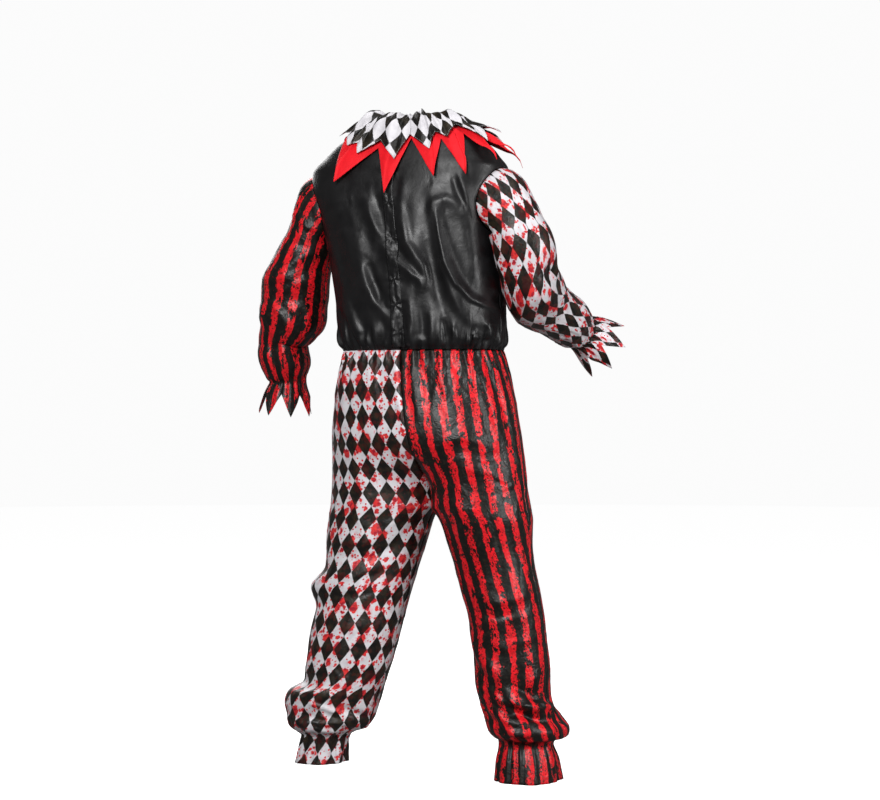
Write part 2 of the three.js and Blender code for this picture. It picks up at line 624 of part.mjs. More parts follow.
// Bodice panels: the outer edge of a half runs up the side seam, round the armhole and along the
// shoulder seam, so each row ends where its level meets that edge.

function armholeEdge(z) {
  const height = (z - ARMHOLE.z) / ARMHOLE.tall;
  return ARMHOLE.reach * Math.sqrt(Math.max(0, 1 - height * height));
}

const BODICE_LEVELS = [TORSO[0].z, -29, -44, -64, -88];
for (let i = 0; i <= ARMHOLE.steps; i++) {
  BODICE_LEVELS.push(ARMHOLE.z + ARMHOLE.tall * Math.cos((Math.PI * i) / ARMHOLE.steps));
}
BODICE_LEVELS.push(-300, -340, -380, -416, -446, -470, -488, -500, WAIST + SEAM / 2);

const outOfTorso = (point, normal) =>
  normal.dot(new THREE.Vector3(point.x / 2, point.y + 8, point.z > -80 ? 120 : 0));

// sides count quarter turns from the wearer's left side, so even ones are side seams. Columns
// crowd towards the armhole and keep their places elsewhere.
function bodiceRows(from, to, across) {
  const power = 2 * (to - from);
  const full = (to - from) * QUARTER;
  return BODICE_LEVELS.map((level) => {
    const edge = armholeEdge(level);
    const start = from % 2 === 0 ? edge : 0;
    const end = to % 2 === 0 ? edge : 0;
    const places = even(across).map((share) => {
      const moved = start * Math.pow(1 - share, power) - end * Math.pow(share, power);
      return (full * share + moved - start) / (full - start - end);
    });
    return rowPoints(
      bodice,
      { level, from: from * QUARTER + start, to: to * QUARTER - end, places },
      { dv: 1, du: 0.006, facing: outOfTorso },
    );
  });
}

const backLeft = bodiceRows(0, 1, 12);
const backRight = bodiceRows(1, 2, 12);
sew("back_left", wall(backLeft, false), cloth.satin);
sew("back_right", wall(backRight, false), cloth.satin);
sew("front", wall(bodiceRows(2, 4, 24), false), cloth.satin);

// The lapped closure down the centre back lies on the two backs and is made from their points.

function placket() {
  const raised = ({ outer, normal }) => ({
    outer: outer.clone().addScaledVector(normal, PLACKET.gap + STRIP),
    inner: outer.clone().addScaledVector(normal, PLACKET.gap),
  });
  const between = (a, b, share) => ({
    outer: a.outer.clone().lerp(b.outer, share),
    normal: a.normal.clone().lerp(b.normal, share).normalize(),
  });
  const rows = BODICE_LEVELS.map((level, i) => {
    if (level > PLACKET.top || level < PLACKET.bottom) return null;
    const [beyondLeft, left] = backLeft[i].slice(-2);
    const [right, beyondRight] = backRight[i].slice(0, 2);
    return [
      between(left, beyondLeft, PLACKET.half / left.outer.distanceTo(beyondLeft.outer)),
      between(left, right, 0.5),
      between(right, beyondRight, PLACKET.half / right.outer.distanceTo(beyondRight.outer)),
    ].map(raised);
  });
  return wall(rows.filter(Boolean), false);
}

sew("back_placket", placket(), cloth.satin);

// Trouser panels: a back and a front to each leg, joined at the inseam and the outseam.

function legPanel(surface, from, to) {
  const above = [-0.9995, -0.965, -0.93, -0.88, -0.78, -0.66, -0.54, -0.42, -0.31, -0.2, -0.09];
  const below = [0, 1, 2, 3, 3.4, 3.8, 4.2, 4.6, 5, 5.5, 6.3, 7.1, 8, 9, 10, 11, 12, 13, 14, 15, 16];
  const facing = (point, normal, turn) =>
    normal.dot(new THREE.Vector3(-Math.cos(TURN * turn) * 0.8, Math.sin(TURN * turn), 0));
  return wall(
    [...above, ...below].map((level) =>
      rowPoints(surface, { level, from, to, places: even(12) }, { dv: 0.01, facing }),
    ),
    false,
  );
}

const legs = [
  { name: "leg_left", side: 1, rows: LEG_LEFT, folds: FOLDS.legLeft, print: cloth.harlequin },
  { name: "leg_right", side: -1, rows: LEG_RIGHT, folds: FOLDS.legRight, print: cloth.stripes },
];
for (const { name, side, rows, folds, print } of legs) {
  const surface = trouserLeg(side, rows, folds);
  const halves = { back: [0, 0.5], front: [0.5, 1] };
  for (const [half, [from, to]] of Object.entries(halves)) {
    const geometry = legPanel(surface, from, to);
    sew(`${name}_${half}`, side > 0 ? geometry : mirrored(geometry), print);
  }
}

// Sleeves: one tube each from the armhole to the points of the cuff.

function cuffShare(turn) {
  const place = (((turn * CUFF.points) % 1) + 1) % 1;
  return mix(CUFF.notch, 1, 1 - Math.abs(2 * place - 1));
}

function sleeveTube(side, rows, folds) {
  const smooth = sleeve(side, rows, folds);
  const last = rows.length - 1;
  const elastic = last - 2;
  const reached = (turn, level) =>
    level <= elastic ? level : mix(elastic, last, ((level - elastic) / 2) * cuffShare(turn));
  const middle = (level) => smooth(0, level).add(smooth(0.5, level)).multiplyScalar(0.5);
  const stations = [-1, -0.8, -0.55, -0.27];
  for (let level = 0; level < elastic - 1.3; level += 0.7) stations.push(level);
  stations.push(elastic - 1, elastic - 0.5, elastic, elastic + 0.6, elastic + 1.2, last);
  const count = (level) => {
    if (level < -0.95) return 2 * ARMHOLE.steps;
    return level > elastic - 1.2 ? 4 * CUFF.points : 20;
  };
  const point = (turn, level) => {
    const outer = smooth(turn, reached(turn, level));
    if (level < -0.95) {
      const normal = armholeNormal(side, turn);
      return { outer, inner: outer.clone().addScaledVector(normal, -CLOTH) };
    }
    const normal = outward(smooth, turn, clamp(reached(turn, level), -0.97, last), 0.006, 0.02);
    const out = outer.clone().sub(middle(Math.max(level, 0)));
    if (level < -0.5) out.x = 0;
    if (normal.dot(out) < 0) normal.negate();
    return { outer, inner: outer.clone().addScaledVector(normal, -CLOTH) };
  };
  const ring = (level) => {
    const places = even(count(level)).map((share) => 0.5 + share);
    const points = places.map((turn, i) => point(i === places.length - 1 ? 0.5 : turn, level));
    return points;
  };
  return wall(stations.map(ring), true);
}

const leftSleeve = sleeveTube(1, SLEEVE_LEFT, FOLDS.sleeveLeft);
const rightSleeve = sleeveTube(-1, SLEEVE_RIGHT, FOLDS.sleeveRight);
sew("sleeve_left", leftSleeve, cloth.stripes);
sew("sleeve_right", mirrored(rightSleeve), cloth.harlequin);

sew("collar_under", collarTier(UNDER_POINTS, TIER.under, 2, 5), cloth.red);
sew("collar_over", collarTier(OVER_POINTS, TIER.over, 3, 4), cloth.check);

export default costume;
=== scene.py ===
import math

import bpy
import numpy as np
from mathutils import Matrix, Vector


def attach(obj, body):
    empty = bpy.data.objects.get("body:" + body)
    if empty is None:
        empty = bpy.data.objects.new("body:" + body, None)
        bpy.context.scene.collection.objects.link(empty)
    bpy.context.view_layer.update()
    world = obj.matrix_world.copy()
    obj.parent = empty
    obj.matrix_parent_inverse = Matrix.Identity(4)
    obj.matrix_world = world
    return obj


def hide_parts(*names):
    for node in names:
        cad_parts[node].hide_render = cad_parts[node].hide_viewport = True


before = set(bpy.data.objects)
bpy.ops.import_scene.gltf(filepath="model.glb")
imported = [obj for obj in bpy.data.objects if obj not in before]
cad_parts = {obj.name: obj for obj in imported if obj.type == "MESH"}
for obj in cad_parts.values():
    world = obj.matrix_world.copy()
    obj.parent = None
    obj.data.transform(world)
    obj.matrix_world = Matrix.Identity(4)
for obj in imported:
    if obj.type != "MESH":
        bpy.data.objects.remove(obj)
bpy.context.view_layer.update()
scene = bpy.context.scene

TURN = 2 * math.pi

# Camera: the wearer's back, a little from their right, level with the seat.
# All cloth sizes below are in millimetres, and become metres when a sheet is made.

VIEW_TURN = math.radians(24)
AHEAD = np.array([math.sin(VIEW_TURN), -math.cos(VIEW_TURN), 0.0])
RIGHTWARD = np.array([-math.cos(VIEW_TURN), -math.sin(VIEW_TURN), 0.0])
CAMERA_AWAY, VIEW_WIDE, SENSOR = 5.0, 1.936, 36
CAMERA_AT = -CAMERA_AWAY * AHEAD + 0.0506 * RIGHTWARD + np.array([0, 0, -0.616])
LENS = SENSOR * CAMERA_AWAY / VIEW_WIDE
PICTURE_WIDE, PICTURE_TALL = 880, 800


def set_camera():
    bpy.ops.object.camera_add(location=CAMERA_AT)
    camera = bpy.context.object
    camera.name = "view"
    camera.rotation_euler = Vector(AHEAD).to_track_quat("-Z", "Y").to_euler()
    camera.data.lens = LENS
    camera.data.sensor_width = SENSOR
    camera.data.clip_end = 50
    scene.camera = camera


def on_picture(points):
    """Where points in mm fall in the view, in pixels."""
    away = points / 1000 - CAMERA_AT
    depth = away @ AHEAD
    reach = PICTURE_WIDE * LENS / SENSOR
    across, down = (away @ RIGHTWARD) / depth * reach, away[..., 2] / depth * reach
    return PICTURE_WIDE / 2 + across, PICTURE_TALL / 2 - down


set_camera()

# ---------------------------------------------------------------- studio


FLOOR_Z, LIT_Z = -1.49, -0.76


def studio():
    bpy.ops.mesh.primitive_circle_add(
        vertices=96, radius=14, fill_type="NGON", location=(0, 0, FLOOR_Z)
    )
    floor = bpy.context.object
    floor.name = "studio_floor"
    paint = bpy.data.materials.new("pale_floor")
    paint.use_nodes = True
    shader = paint.node_tree.nodes["Principled BSDF"]
    shader.inputs["Base Color"].default_value = (0.86, 0.86, 0.86, 1)
    shader.inputs["Roughness"].default_value = 0.8
    shader.inputs["Emission Color"].default_value = (1, 1, 1, 1)
    shader.inputs["Emission Strength"].default_value = 0.86
    floor.visible_diffuse = floor.visible_glossy = False
    floor.data.materials.append(paint)

    world = bpy.data.worlds.new("studio")
    scene.world = world
    world.use_nodes = True
    nodes, links = world.node_tree.nodes, world.node_tree.links
    background = nodes["Background"]
    background.inputs["Color"].default_value = (1, 1, 1, 1)
    background.inputs["Strength"].default_value = 0.14
    bright = nodes.new("ShaderNodeBackground")
    bright.inputs["Color"].default_value = (0.97, 0.97, 0.97, 1)
    bright.inputs["Strength"].default_value = 1.0
    path = nodes.new("ShaderNodeLightPath")
    pick = nodes.new("ShaderNodeMixShader")
    links.new(path.outputs["Is Camera Ray"], pick.inputs[0])
    links.new(background.outputs[0], pick.inputs[1])
    links.new(bright.outputs[0], pick.inputs[2])
    links.new(pick.outputs[0], nodes["World Output"].inputs["Surface"])

    for name, side, out, up, size, power in (
        ("key_softbox", -1.0, -3.8, 0.9, 1.2, 134),
        ("fill_softbox", 2.8, -1.9, -0.1, 1.2, 58),
        ("top_softbox", 0.2, -0.9, 2.3, 1.2, 20),
        ("far_softbox", -1.2, 3.0, 0.9, 2.0, 60),
    ):
        place = RIGHTWARD * side + AHEAD * out + np.array([0, 0, up])
        bpy.ops.object.light_add(type="AREA", location=place)
        lamp = bpy.context.object
        lamp.name = name
        lamp.data.size = size
        lamp.data.energy = power
        aim = Vector((0, 0, LIT_Z)) - lamp.location
        lamp.rotation_euler = aim.to_track_quat("-Z", "Y").to_euler()
    scene.view_settings.view_transform = "Standard"


studio()

# ---------------------------------------------------------------- the costume's sizes

WAIST, SEAT, FORK = -508, -670, -850
SEAM = 0.3

# z, x, y, wide, deep, drop
TORSO = (
    (-22, 0, 0, 66, 60, 22), (-26, 1, 0, 86, 67, 20), (-34, 3, -1, 120, 76, 17),
    (-46, 6, -2, 154, 86, 13), (-62, 10, -3, 180, 95, 9), (-84, 15, -5, 202, 103, 5),
    (-112, 20, -6, 226, 109, 2), (-150, 22, -8, 228, 114, 0), (-190, 18, -8, 219, 118, 0),
    (-253, 10, -8, 204, 123, 0), (-320, 2, -8, 196, 127, 0), (-374, -3, -9, 192, 129, 0),
    (-427, -6, -10, 189, 130, 0), (-462, -8, -10, 187, 129, 0), (-485, -9, -10, 182, 124, 0),
    (-500, -10, -10, 176, 119, 0), (WAIST, -10, -10, 174, 117, 0),
)
ARMHOLE_Z, ARMHOLE_TALL, ARMHOLE_REACH = -187, 75, math.radians(36)

# z, seam, left, right, y, deep
HIPS = (
    (WAIST, -10, 164, -184, -10, 117), (-532, -13, 172, -194, -10, 124),
    (-559, -16, 180, -204, -10, 131), (-612, -24, 191, -219, -10, 140),
    (-691, -36, 200, -233, -10, 146), (-744, -42, 199, -241, -10, 146),
    (-800, -43, 199, -248, -10, 142), (FORK, -42, 203, -256, -10, 130),
)
# z, inner, outer, y, deep
LEG_LEFT = (
    (FORK, -42, 203, -10, 112), (-876, -28, 207, -8, 109), (-928, -13, 211, -3, 104),
    (-981, 4, 211, 1, 99), (-1034, 18, 239, 4, 104), (-1087, 34, 238, 9, 98),
    (-1140, 45, 246, 14, 95), (-1192, 59, 252, 18, 92), (-1236, 76, 264, 17, 95),
    (-1258, 85, 294, 16, 102), (-1288, 97, 306, 14, 106), (-1322, 107, 299, 16, 101),
    (-1341, 122, 290, 19, 90), (-1350, 143, 272, 27, 70), (-1359, 156, 259, 31, 58),
    (-1382, 162, 266, 29, 60), (-1419, 166, 275, 27, 68),
)
LEG_RIGHT = (
    (FORK, 42, 256, -10, 108), (-876, 60, 260, -12, 103), (-928, 76, 258, -17, 93),
    (-981, 90, 264, -21, 84), (-1034, 103, 275, -25, 83), (-1087, 119, 283, -29, 82),
    (-1140, 127, 287, -33, 80), (-1192, 128, 292, -37, 82), (-1245, 133, 291, -41, 82),
    (-1280, 141, 297, -45, 86), (-1305, 148, 312, -56, 96), (-1330, 154, 326, -62, 105),
    (-1348, 170, 322, -62, 92), (-1354, 178, 302, -56, 70), (-1366, 180, 294, -53, 60),
    (-1395, 175, 303, -55, 70), (-1443, 172, 310, -58, 80),
)
# x, y, z, wide, deep, turn
SLEEVE_LEFT = (
    (258, 6, -256, 54, 66, 0), (287, 4, -328, 68, 72, 0), (301, 2, -378, 76, 74, 0),
    (311, 0, -425, 74, 72, 0), (324, -2, -455, 65, 66, 0), (337, -5, -482, 53, 58, 0),
    (336, -8, -508, 56, 60, 0), (331, -11, -534, 56, 57, 0), (330, -14, -558, 47, 49, 0),
    (329, -16, -574, 40, 41, 0), (332, -18, -604, 50, 52, 0), (336, -21, -648, 60, 64, 0),
)
SLEEVE_RIGHT = (
    (246, 24, -246, 62, 60, -24), (258, 6, -296, 68, 66, -24), (253, -28, -352, 64, 76, -24),
    (250, -98, -394, 64, 68, -24), (266, -150, -420, 56, 57, -24), (275, -192, -436, 56, 54, -24),
    (281, -232, -452, 48, 50, -24), (287, -259, -462, 40, 42, -24), (303, -290, -478, 52, 54, -24),
    (322, -326, -499, 66, 72, -24),
)
CUFF_POINTS, CUFF_NOTCH = 7, 0.42

# The largest folds: turn, z, to turn, to z, broad, rise
BODICE_FOLDS = (
    (0.16, -120, 0.19, -430, 25, 6), (0.21, -200, 0.23, -440, 20, -5),
    (0.29, -150, 0.28, -380, 22, 5), (0.33, -210, 0.32, -450, 22, -6),
    (0.37, -170, 0.43, -430, 24, 7), (0.1, -290, 0.13, -470, 22, -5),
    (0.62, -180, 0.66, -440, 26, 6), (0.7, -160, 0.72, -400, 24, -5),
    (0.8, -170, 0.78, -430, 26, 6), (0.88, -240, 0.85, -450, 24, -5),
)
LEG_LEFT_FOLDS = (
    (0.32, -1010, 0.55, -1040, 22, 8), (0.24, -1050, 0.5, -1082, 20, -7),
    (0.2, -690, 0.3, -960, 30, 5), (0.08, -920, 0.2, -1000, 26, -6),
    (0.3, -1232, 0.62, -1250, 17, -8), (0.12, -1300, 0.42, -1312, 15, -6),
    (0.75, -700, 0.68, -980, 30, 6), (0.66, -1060, 0.92, -1040, 24, -7),
)
LEG_RIGHT_FOLDS = (
    (0.22, -660, 0.28, -960, 28, 5), (0.36, -700, 0.42, -1010, 26, -5),
    (0.06, -1120, 0.3, -1235, 19, 6), (0.1, -1180, 0.32, -1268, 18, -7),
    (0.45, -1200, 0.24, -1285, 17, 6), (0.3, -1300, 0.6, -1316, 15, -7),
    (0.72, -690, 0.66, -980, 30, 6), (0.62, -1075, 0.9, -1050, 24, -6),
)
SLEEVE_LEFT_FOLDS = (
    (0.95, -355, 0.6, -330, 20, 7), (0.95, -400, 0.6, -378, 18, -7),
    (0.35, -420, 0.65, -440, 18, 6), (0.95, -470, 0.7, -496, 14, -5),
)
SLEEVE_RIGHT_FOLDS = (
    (0.3, -320, 0.55, -340, 18, -7), (0.8, -330, 0.58, -400, 20, 6),
    (0.83, -322, 1.05, -334, 17, -15), (0.05, -380, 0.3, -400, 18, 5),
)

# Collar points: way round the neck, reach, lift, way and reach of the notch after it
OPENING_WAY = 101
UNDER_POINTS = (
    (115, 164, 9, 121, 85), (134, 182, 10, 143, 90), (155, 170, 22, 163, 98),
    (172, 172, 34, 185, 92), (200, 168, 22, 214, 82), (228, 165, 10, 242, 78),
    (256, 165, 9, 270, 76), (284, 165, 9, 298, 78), (312, 160, 8, 326, 82),
    (340, 150, 3, 402, 90), (422, 194, 8, 442, 88), (450, 185, 9, 461, 65),
)
OVER_POINTS = (
    (113, 103, 6, 118, 72), (126, 92, 6, 139, 70), (154, 132, 22, 166, 78),
    (178, 116, 28, 191, 74), (205, 112, 16, 218, 70), (233, 108, 6, 247, 68),
    (260, 106, 5, 273, 66), (287, 108, 5, 301, 68), (316, 110, 5, 332, 72),
    (350, 108, 4, 372, 76), (396, 104, 4, 408, 84), (421, 110, 5, 427, 94),
    (432, 116, 6, 443, 74), (454, 110, 6, 461, 60),
)

# Creases that the back view shows, as lines on the 880 x 800 view: half breadth in pixels, rise
# in mm, then across and down for each point. The front takes the same ones the other way round.
BACK_CREASES = (
    (4.6, 8, 401, 204, 405, 230, 407, 242, 415, 254, 424, 266, 427, 280, 424, 287),
    (3.2, 7, 385, 246, 394, 258, 404, 266, 412, 272, 420, 280, 424, 288),
    (4.5, -6, 390, 232, 398, 250, 410, 262), (4, -4, 412, 262, 416, 276, 414, 290),
    (7.5, 9, 432, 190, 434, 214, 438, 240, 444, 268, 452, 292, 462, 312, 472, 322, 484, 324),
    (3.2, 8, 436, 212, 440, 236, 446, 262, 456, 284, 470, 299, 486, 306, 494, 309),
    (10, -8, 446, 216, 452, 244, 460, 270, 474, 290, 490, 300),
    (6, -6, 424, 240, 430, 264, 436, 290, 444, 312), (5, 5, 460, 206, 447, 198, 434, 202, 430, 212),
    (7, -4, 462, 216, 470, 230, 474, 256), (3.4, 6, 367, 200, 372, 216, 379, 232, 383, 241),
    (3.6, -5, 374, 192, 380, 214, 386, 232), (9, 5, 352, 210, 358, 236, 364, 260, 368, 284),
    (4, 7, 361, 264, 368, 284, 376, 302, 384, 312, 390, 318), (4.6, -6, 369, 262, 376, 284, 384, 300),
    (6, -4, 336, 236, 342, 262, 350, 286), (4.4, 6, 342, 302, 352, 322, 362, 344),
    (4, -5, 350, 298, 360, 322, 370, 342), (3.6, 4, 334, 300, 340, 322, 348, 344),
    (3.4, 5, 458, 172, 464, 190, 470, 210), (3, -4, 452, 176, 456, 190, 462, 204),
    (3.6, 4, 404, 176, 402, 192, 401, 206), (3.6, -4.5, 400, 300, 402, 322, 400, 346),
    (3.8, 4.5, 409, 296, 412, 322, 410, 346), (3.4, -4.5, 420, 306, 422, 326, 420, 347),
    (3.6, 4.5, 430, 312, 432, 330, 431, 348), (3.2, -4.5, 442, 318, 446, 334, 446, 348),
    (3, 4, 452, 326, 456, 338, 458, 348), (3, -4, 382, 318, 384, 334, 382, 347),
    (3, 3.6, 372, 322, 374, 336, 373, 347), (2.8, 5.5, 484, 322, 489, 330, 490, 342),
    (2.6, 5, 466, 346, 474, 338, 482, 336), (2.2, -4, 476, 347, 484, 341, 492, 338),
    (2, 3.5, 414, 346, 420, 340, 427, 345), (4, 2.5, 326, 206, 338, 201, 354, 199),
    (4, -2.5, 326, 232, 342, 227, 362, 229),
)
TROUSER_CREASES = (
    (3, 3, 410, 366, 414, 392, 418, 420), (3.2, -3.2, 420, 362, 426, 384, 428, 404),
    (3, 3.2, 438, 358, 440, 378, 446, 398), (3, -3, 452, 360, 460, 380, 464, 398),
    (3.4, 4, 470, 358, 482, 384, 492, 412, 500, 440), (2.8, -3.2, 482, 360, 494, 386, 506, 420),
    (2.8, 3.6, 490, 360, 504, 396, 514, 440, 522, 490),
    (4.5, -4, 440, 462, 462, 452, 484, 460, 506, 456), (4.5, 3.6, 434, 448, 460, 438, 488, 446),
    (4, 3.4, 462, 470, 490, 474, 514, 486), (5, 3.4, 446, 486, 458, 520, 466, 560),
    (5, -3.4, 484, 500, 498, 540, 506, 590), (3.6, 3.6, 512, 520, 520, 560, 522, 600),
    (4, 3.8, 474, 596, 500, 604, 528, 596), (3.6, -3.6, 470, 612, 498, 618, 524, 610),
    (4, 3, 482, 640, 506, 650, 532, 640), (4, 4.6, 488, 664, 500, 684, 496, 704),
    (3.4, -4.4, 480, 676, 488, 700, 498, 722), (3.6, 4.8, 500, 690, 520, 706, 542, 712),
    (3, -4.6, 504, 704, 524, 718, 548, 722), (3, 4.4, 494, 716, 512, 734, 534, 738),
    (3, 4, 532, 690, 544, 706, 556, 716), (2.4, -3.6, 500, 738, 516, 742, 540, 738),
    (3, 2.8, 358, 362, 356, 384, 352, 408), (3, -2.8, 376, 362, 378, 386, 382, 404),
    (3, 2.6, 392, 366, 396, 396, 404, 428), (3, 2.6, 344, 366, 342, 396, 338, 430),
    (5, 4, 350, 500, 362, 530, 366, 556), (4.4, -4, 372, 500, 378, 528, 376, 552),
    (4, 4.4, 340, 540, 362, 546, 388, 528, 414, 506),
    (4.2, -4.6, 338, 556, 364, 562, 392, 548, 420, 520),
    (4, 4.4, 326, 572, 350, 578, 384, 566, 410, 552), (4, -3.6, 324, 592, 352, 598, 380, 590),
    (5, 2.6, 322, 620, 350, 630, 384, 622), (5, -2.4, 330, 666, 352, 676, 384, 664),
    (3.4, 4.6, 300, 696, 318, 708, 342, 712), (3, -4.6, 298, 708, 318, 720, 346, 722),
    (3, 4.2, 288, 712, 308, 730, 334, 736), (3, 4, 340, 722, 360, 728, 384, 722),
    (3, -3.6, 306, 690, 304, 704, 296, 716), (2.4, -3.4, 344, 734, 362, 738, 380, 732),
    (5, 7, 286, 700, 300, 703, 316, 700, 334, 706), (4, -7, 284, 712, 300, 716, 322, 713, 342, 720),
    (4.6, 6, 284, 722, 304, 727, 330, 726), (5, -5, 292, 686, 308, 688, 326, 684),
    (4.4, -6, 498, 682, 520, 690, 544, 694), (4.6, 6.5, 486, 708, 508, 722, 536, 728),
    (4.2, 6, 512, 700, 534, 708, 556, 708), (4, 5, 350, 704, 368, 714, 384, 712),
    (3.4, -9, 284, 700, 298, 704, 314, 701, 330, 706, 346, 712),
    (3.2, -6, 340, 708, 358, 716, 378, 714), (3, 7, 288, 718, 304, 712, 322, 716, 336, 712),
    (3, -7, 296, 730, 316, 726, 338, 732, 356, 728), (3.2, 8, 488, 690, 502, 702, 520, 706, 536, 716),
    (3, -8, 492, 704, 508, 716, 526, 716, 546, 724), (3, -6, 480, 700, 486, 716, 498, 728),
    (3, -7, 514, 688, 530, 698, 552, 702),
)
SLEEVE_CREASES = (
    (3, 3.6, 292, 214, 308, 228, 322, 232), (3.2, -3.8, 286, 236, 304, 250, 324, 250),
    (3, 4.4, 270, 272, 288, 268, 312, 252, 330, 250), (3, -4.4, 266, 288, 288, 284, 310, 272, 326, 268),
    (2.4, 3.4, 262, 296, 276, 310, 294, 336), (2.2, -2.8, 274, 300, 290, 316, 304, 334),
    (2.8, 3.6, 300, 296, 308, 314, 304, 338), (2.8, -3, 262, 322, 270, 346, 272, 370),
    (2.4, 3, 280, 340, 284, 358, 280, 376), (2.4, 3.4, 298, 346, 302, 360, 296, 376),
    (3, 3, 304, 178, 300, 198, 292, 216), (3, -3, 314, 176, 318, 196, 322, 214),
    (3, 3, 476, 192, 488, 206, 498, 224), (3, -2.6, 486, 170, 500, 186, 508, 206),
    (3.4, 3, 478, 232, 490, 248, 498, 270), (3.4, -3.4, 484, 268, 496, 288, 508, 310),
    (2.6, 4, 544, 266, 552, 268, 562, 276), (2.4, -4, 548, 276, 556, 284, 562, 296),
    (3, 3, 520, 288, 538, 300, 556, 304), (3, -3, 506, 304, 526, 314, 552, 318),
    (2.8, 3, 512, 318, 534, 326, 560, 332), (2.4, 3.4, 560, 296, 574, 304, 588, 316),
    (2, -3, 564, 308, 574, 316, 584, 326), (2, 3, 556, 330, 570, 330, 582, 334),
    (2.2, -3, 578, 330, 586, 340, 594, 354), (2, 2.6, 566, 336, 576, 344, 586, 356),
)

# ---------------------------------------------------------------- shapes from the sizes


def through(rows, column, knot=None):
    """A smooth curve through one column of a table, by another column or by row."""
    at = np.array([row[knot] if knot is not None else i for i, row in enumerate(rows)], float)
    value = np.array([row[column] for row in rows], float)
    slope = np.diff(value) / np.diff(at)
    before, after = slope[:-1], slope[1:]
    same = before * after > 0
    total = np.where(same, before + after, 1)
    inside = np.where(same, 2 * before * after / total, 0)
    tangent = np.concatenate([slope[:1], inside, slope[-1:]])
    sign = 1 if at[1] > at[0] else -1

    def curve(x):
        x = np.asarray(x, float)
        i = np.clip(np.searchsorted(at * sign, x * sign) - 1, 0, len(at) - 2)
        step = at[i + 1] - at[i]
        t = (x - at[i]) / step
        s = 1 - t
        return (
            s * s * (1 + 2 * t) * value[i] + t * s * s * step * tangent[i]
            + t * t * (3 - 2 * t) * value[i + 1] - t * t * s * step * tangent[i + 1]
        )

    return curve


def ease(start, end, x):
    t = np.clip((x - start) / (end - start), 0, 1)
    return t * t * (3 - 2 * t)


def mix(a, b, share):
    return a + (b - a) * share


def stack(x, y, z):
    return np.stack(np.broadcast_arrays(x, y, z), -1).astype(float)


def length(v):
    return np.sqrt((v * v).sum(-1, keepdims=True))


def unit(v):
    return v / np.maximum(length(v), 1e-9)


def plan(angle, squareness):
    """A ring seen from above: round at 0, and squarer as squareness grows."""
    c, s = np.cos(angle), np.sin(angle)
    return c * (1 + squareness * s * s), s * (1 + squareness * c * c)


def fold_rise(folds, turn, z, girth):
    """How far the large folds lift a tube's cloth; turn is 0 to 1 round it."""
    rise = 0
    for start, top, end, bottom, broad, high in folds:
        across, along = (end - start) * girth, bottom - top
        dx = ((turn - start + 0.5) % 1 - 0.5) * girth
        dz = z - top
        t = np.clip((dx * across + dz * along) / (across * across + along * along), 0, 1)
        off = np.hypot(dx - t * across, dz - t * along) / broad
        rise = rise + high * np.exp(-off * off) * (0.4 + 0.6 * np.sin(math.pi * t))
    return rise


def uneven(turn, count, seed):
    """Gathers round a ring: about count of them, of uneven breadth and height, from -1 to 1."""
    rng = np.random.default_rng(seed)
    waves = range(max(2, int(count * 0.55)), int(count * 1.5), max(1, count // 14))
    total = 0
    for k in waves:
        total = total + math.sqrt(0.4 + 0.6 * rng.random()) * np.cos(TURN * (k * turn + rng.random()))
    return np.tanh(total / math.sqrt(len(waves)) * 1.1)


def gather_run(turn, away, longest, shortest, seed):
    """How strongly gathers still show at a distance from their elastic."""
    reach = mix(shortest, longest, 0.5 + 0.5 * uneven(turn, 17, seed))
    return ease(reach, 0, away)


LATTICE = np.random.default_rng(7).random((32, 32, 32))


def soft_noise(points):
    cell = np.floor(points).astype(int)
    f = points - cell
    f = f * f * (3 - 2 * f)
    total = 0
    for dx in (0, 1):
        for dy in (0, 1):
            for dz in (0, 1):
                weight = (
                    (f[..., 0] if dx else 1 - f[..., 0])
                    * (f[..., 1] if dy else 1 - f[..., 1])
                    * (f[..., 2] if dz else 1 - f[..., 2])
                )
                i, j, k = ((cell[..., n] + d) % 32 for n, d in enumerate((dx, dy, dz)))
                total = total + weight * LATTICE[i, j, k]
    return total * 2 - 1


TORSO_AT = [through(TORSO, n, 0) for n in range(1, 6)]
HIPS_AT = [through(HIPS, n, 0) for n in range(1, 6)]


def waist_gathers(angle, away, longest):
    turn = angle / TURN
    long_ones = 6.0 * uneven(turn, 44, 3) * gather_run(turn, away, longest, 26, 5)
    short_ones = 1.3 * uneven(turn, 84, 4) * gather_run(turn, away, 34, 10, 6)
    return long_ones + short_ones


def waist_puffs(angle, away):
    """Small pouches of satin that hang over the waist's elastic."""
    turn = angle / TURN
    full = 0.5 + 0.5 * uneven(turn, 40, 8)
    top = mix(34, 74, 0.5 + 0.5 * uneven(turn, 15, 9))
    return 8.5 * full ** 1.5 * ease(1, 13, away) * ease(top, 14, away)


def bodice(angle, z):
    """The bodice's surface; a quarter turn is the centre back."""
    middle_x, middle_y, wide, deep, drop = (column(z) for column in TORSO_AT)
    c, s = plan(angle, 0.18)
    point = stack(middle_x + wide * c, middle_y + deep * s, z + drop * np.sin(angle))
    seams = np.abs(np.sin(angle)) * ease(0, 0.25, np.abs(np.cos(angle)))
    folds = fold_rise(BODICE_FOLDS, (angle / TURN) % 1, z, 1050) * ease(WAIST, WAIST + 60, z)
    above = z - WAIST
    rise = waist_puffs(angle, above) + waist_gathers(angle, above, 105) + folds * mix(0.3, 1, seams)
    flat = unit(stack(deep * np.cos(angle), wide * np.sin(angle), 0 * z))
    return point + flat * rise[..., None]


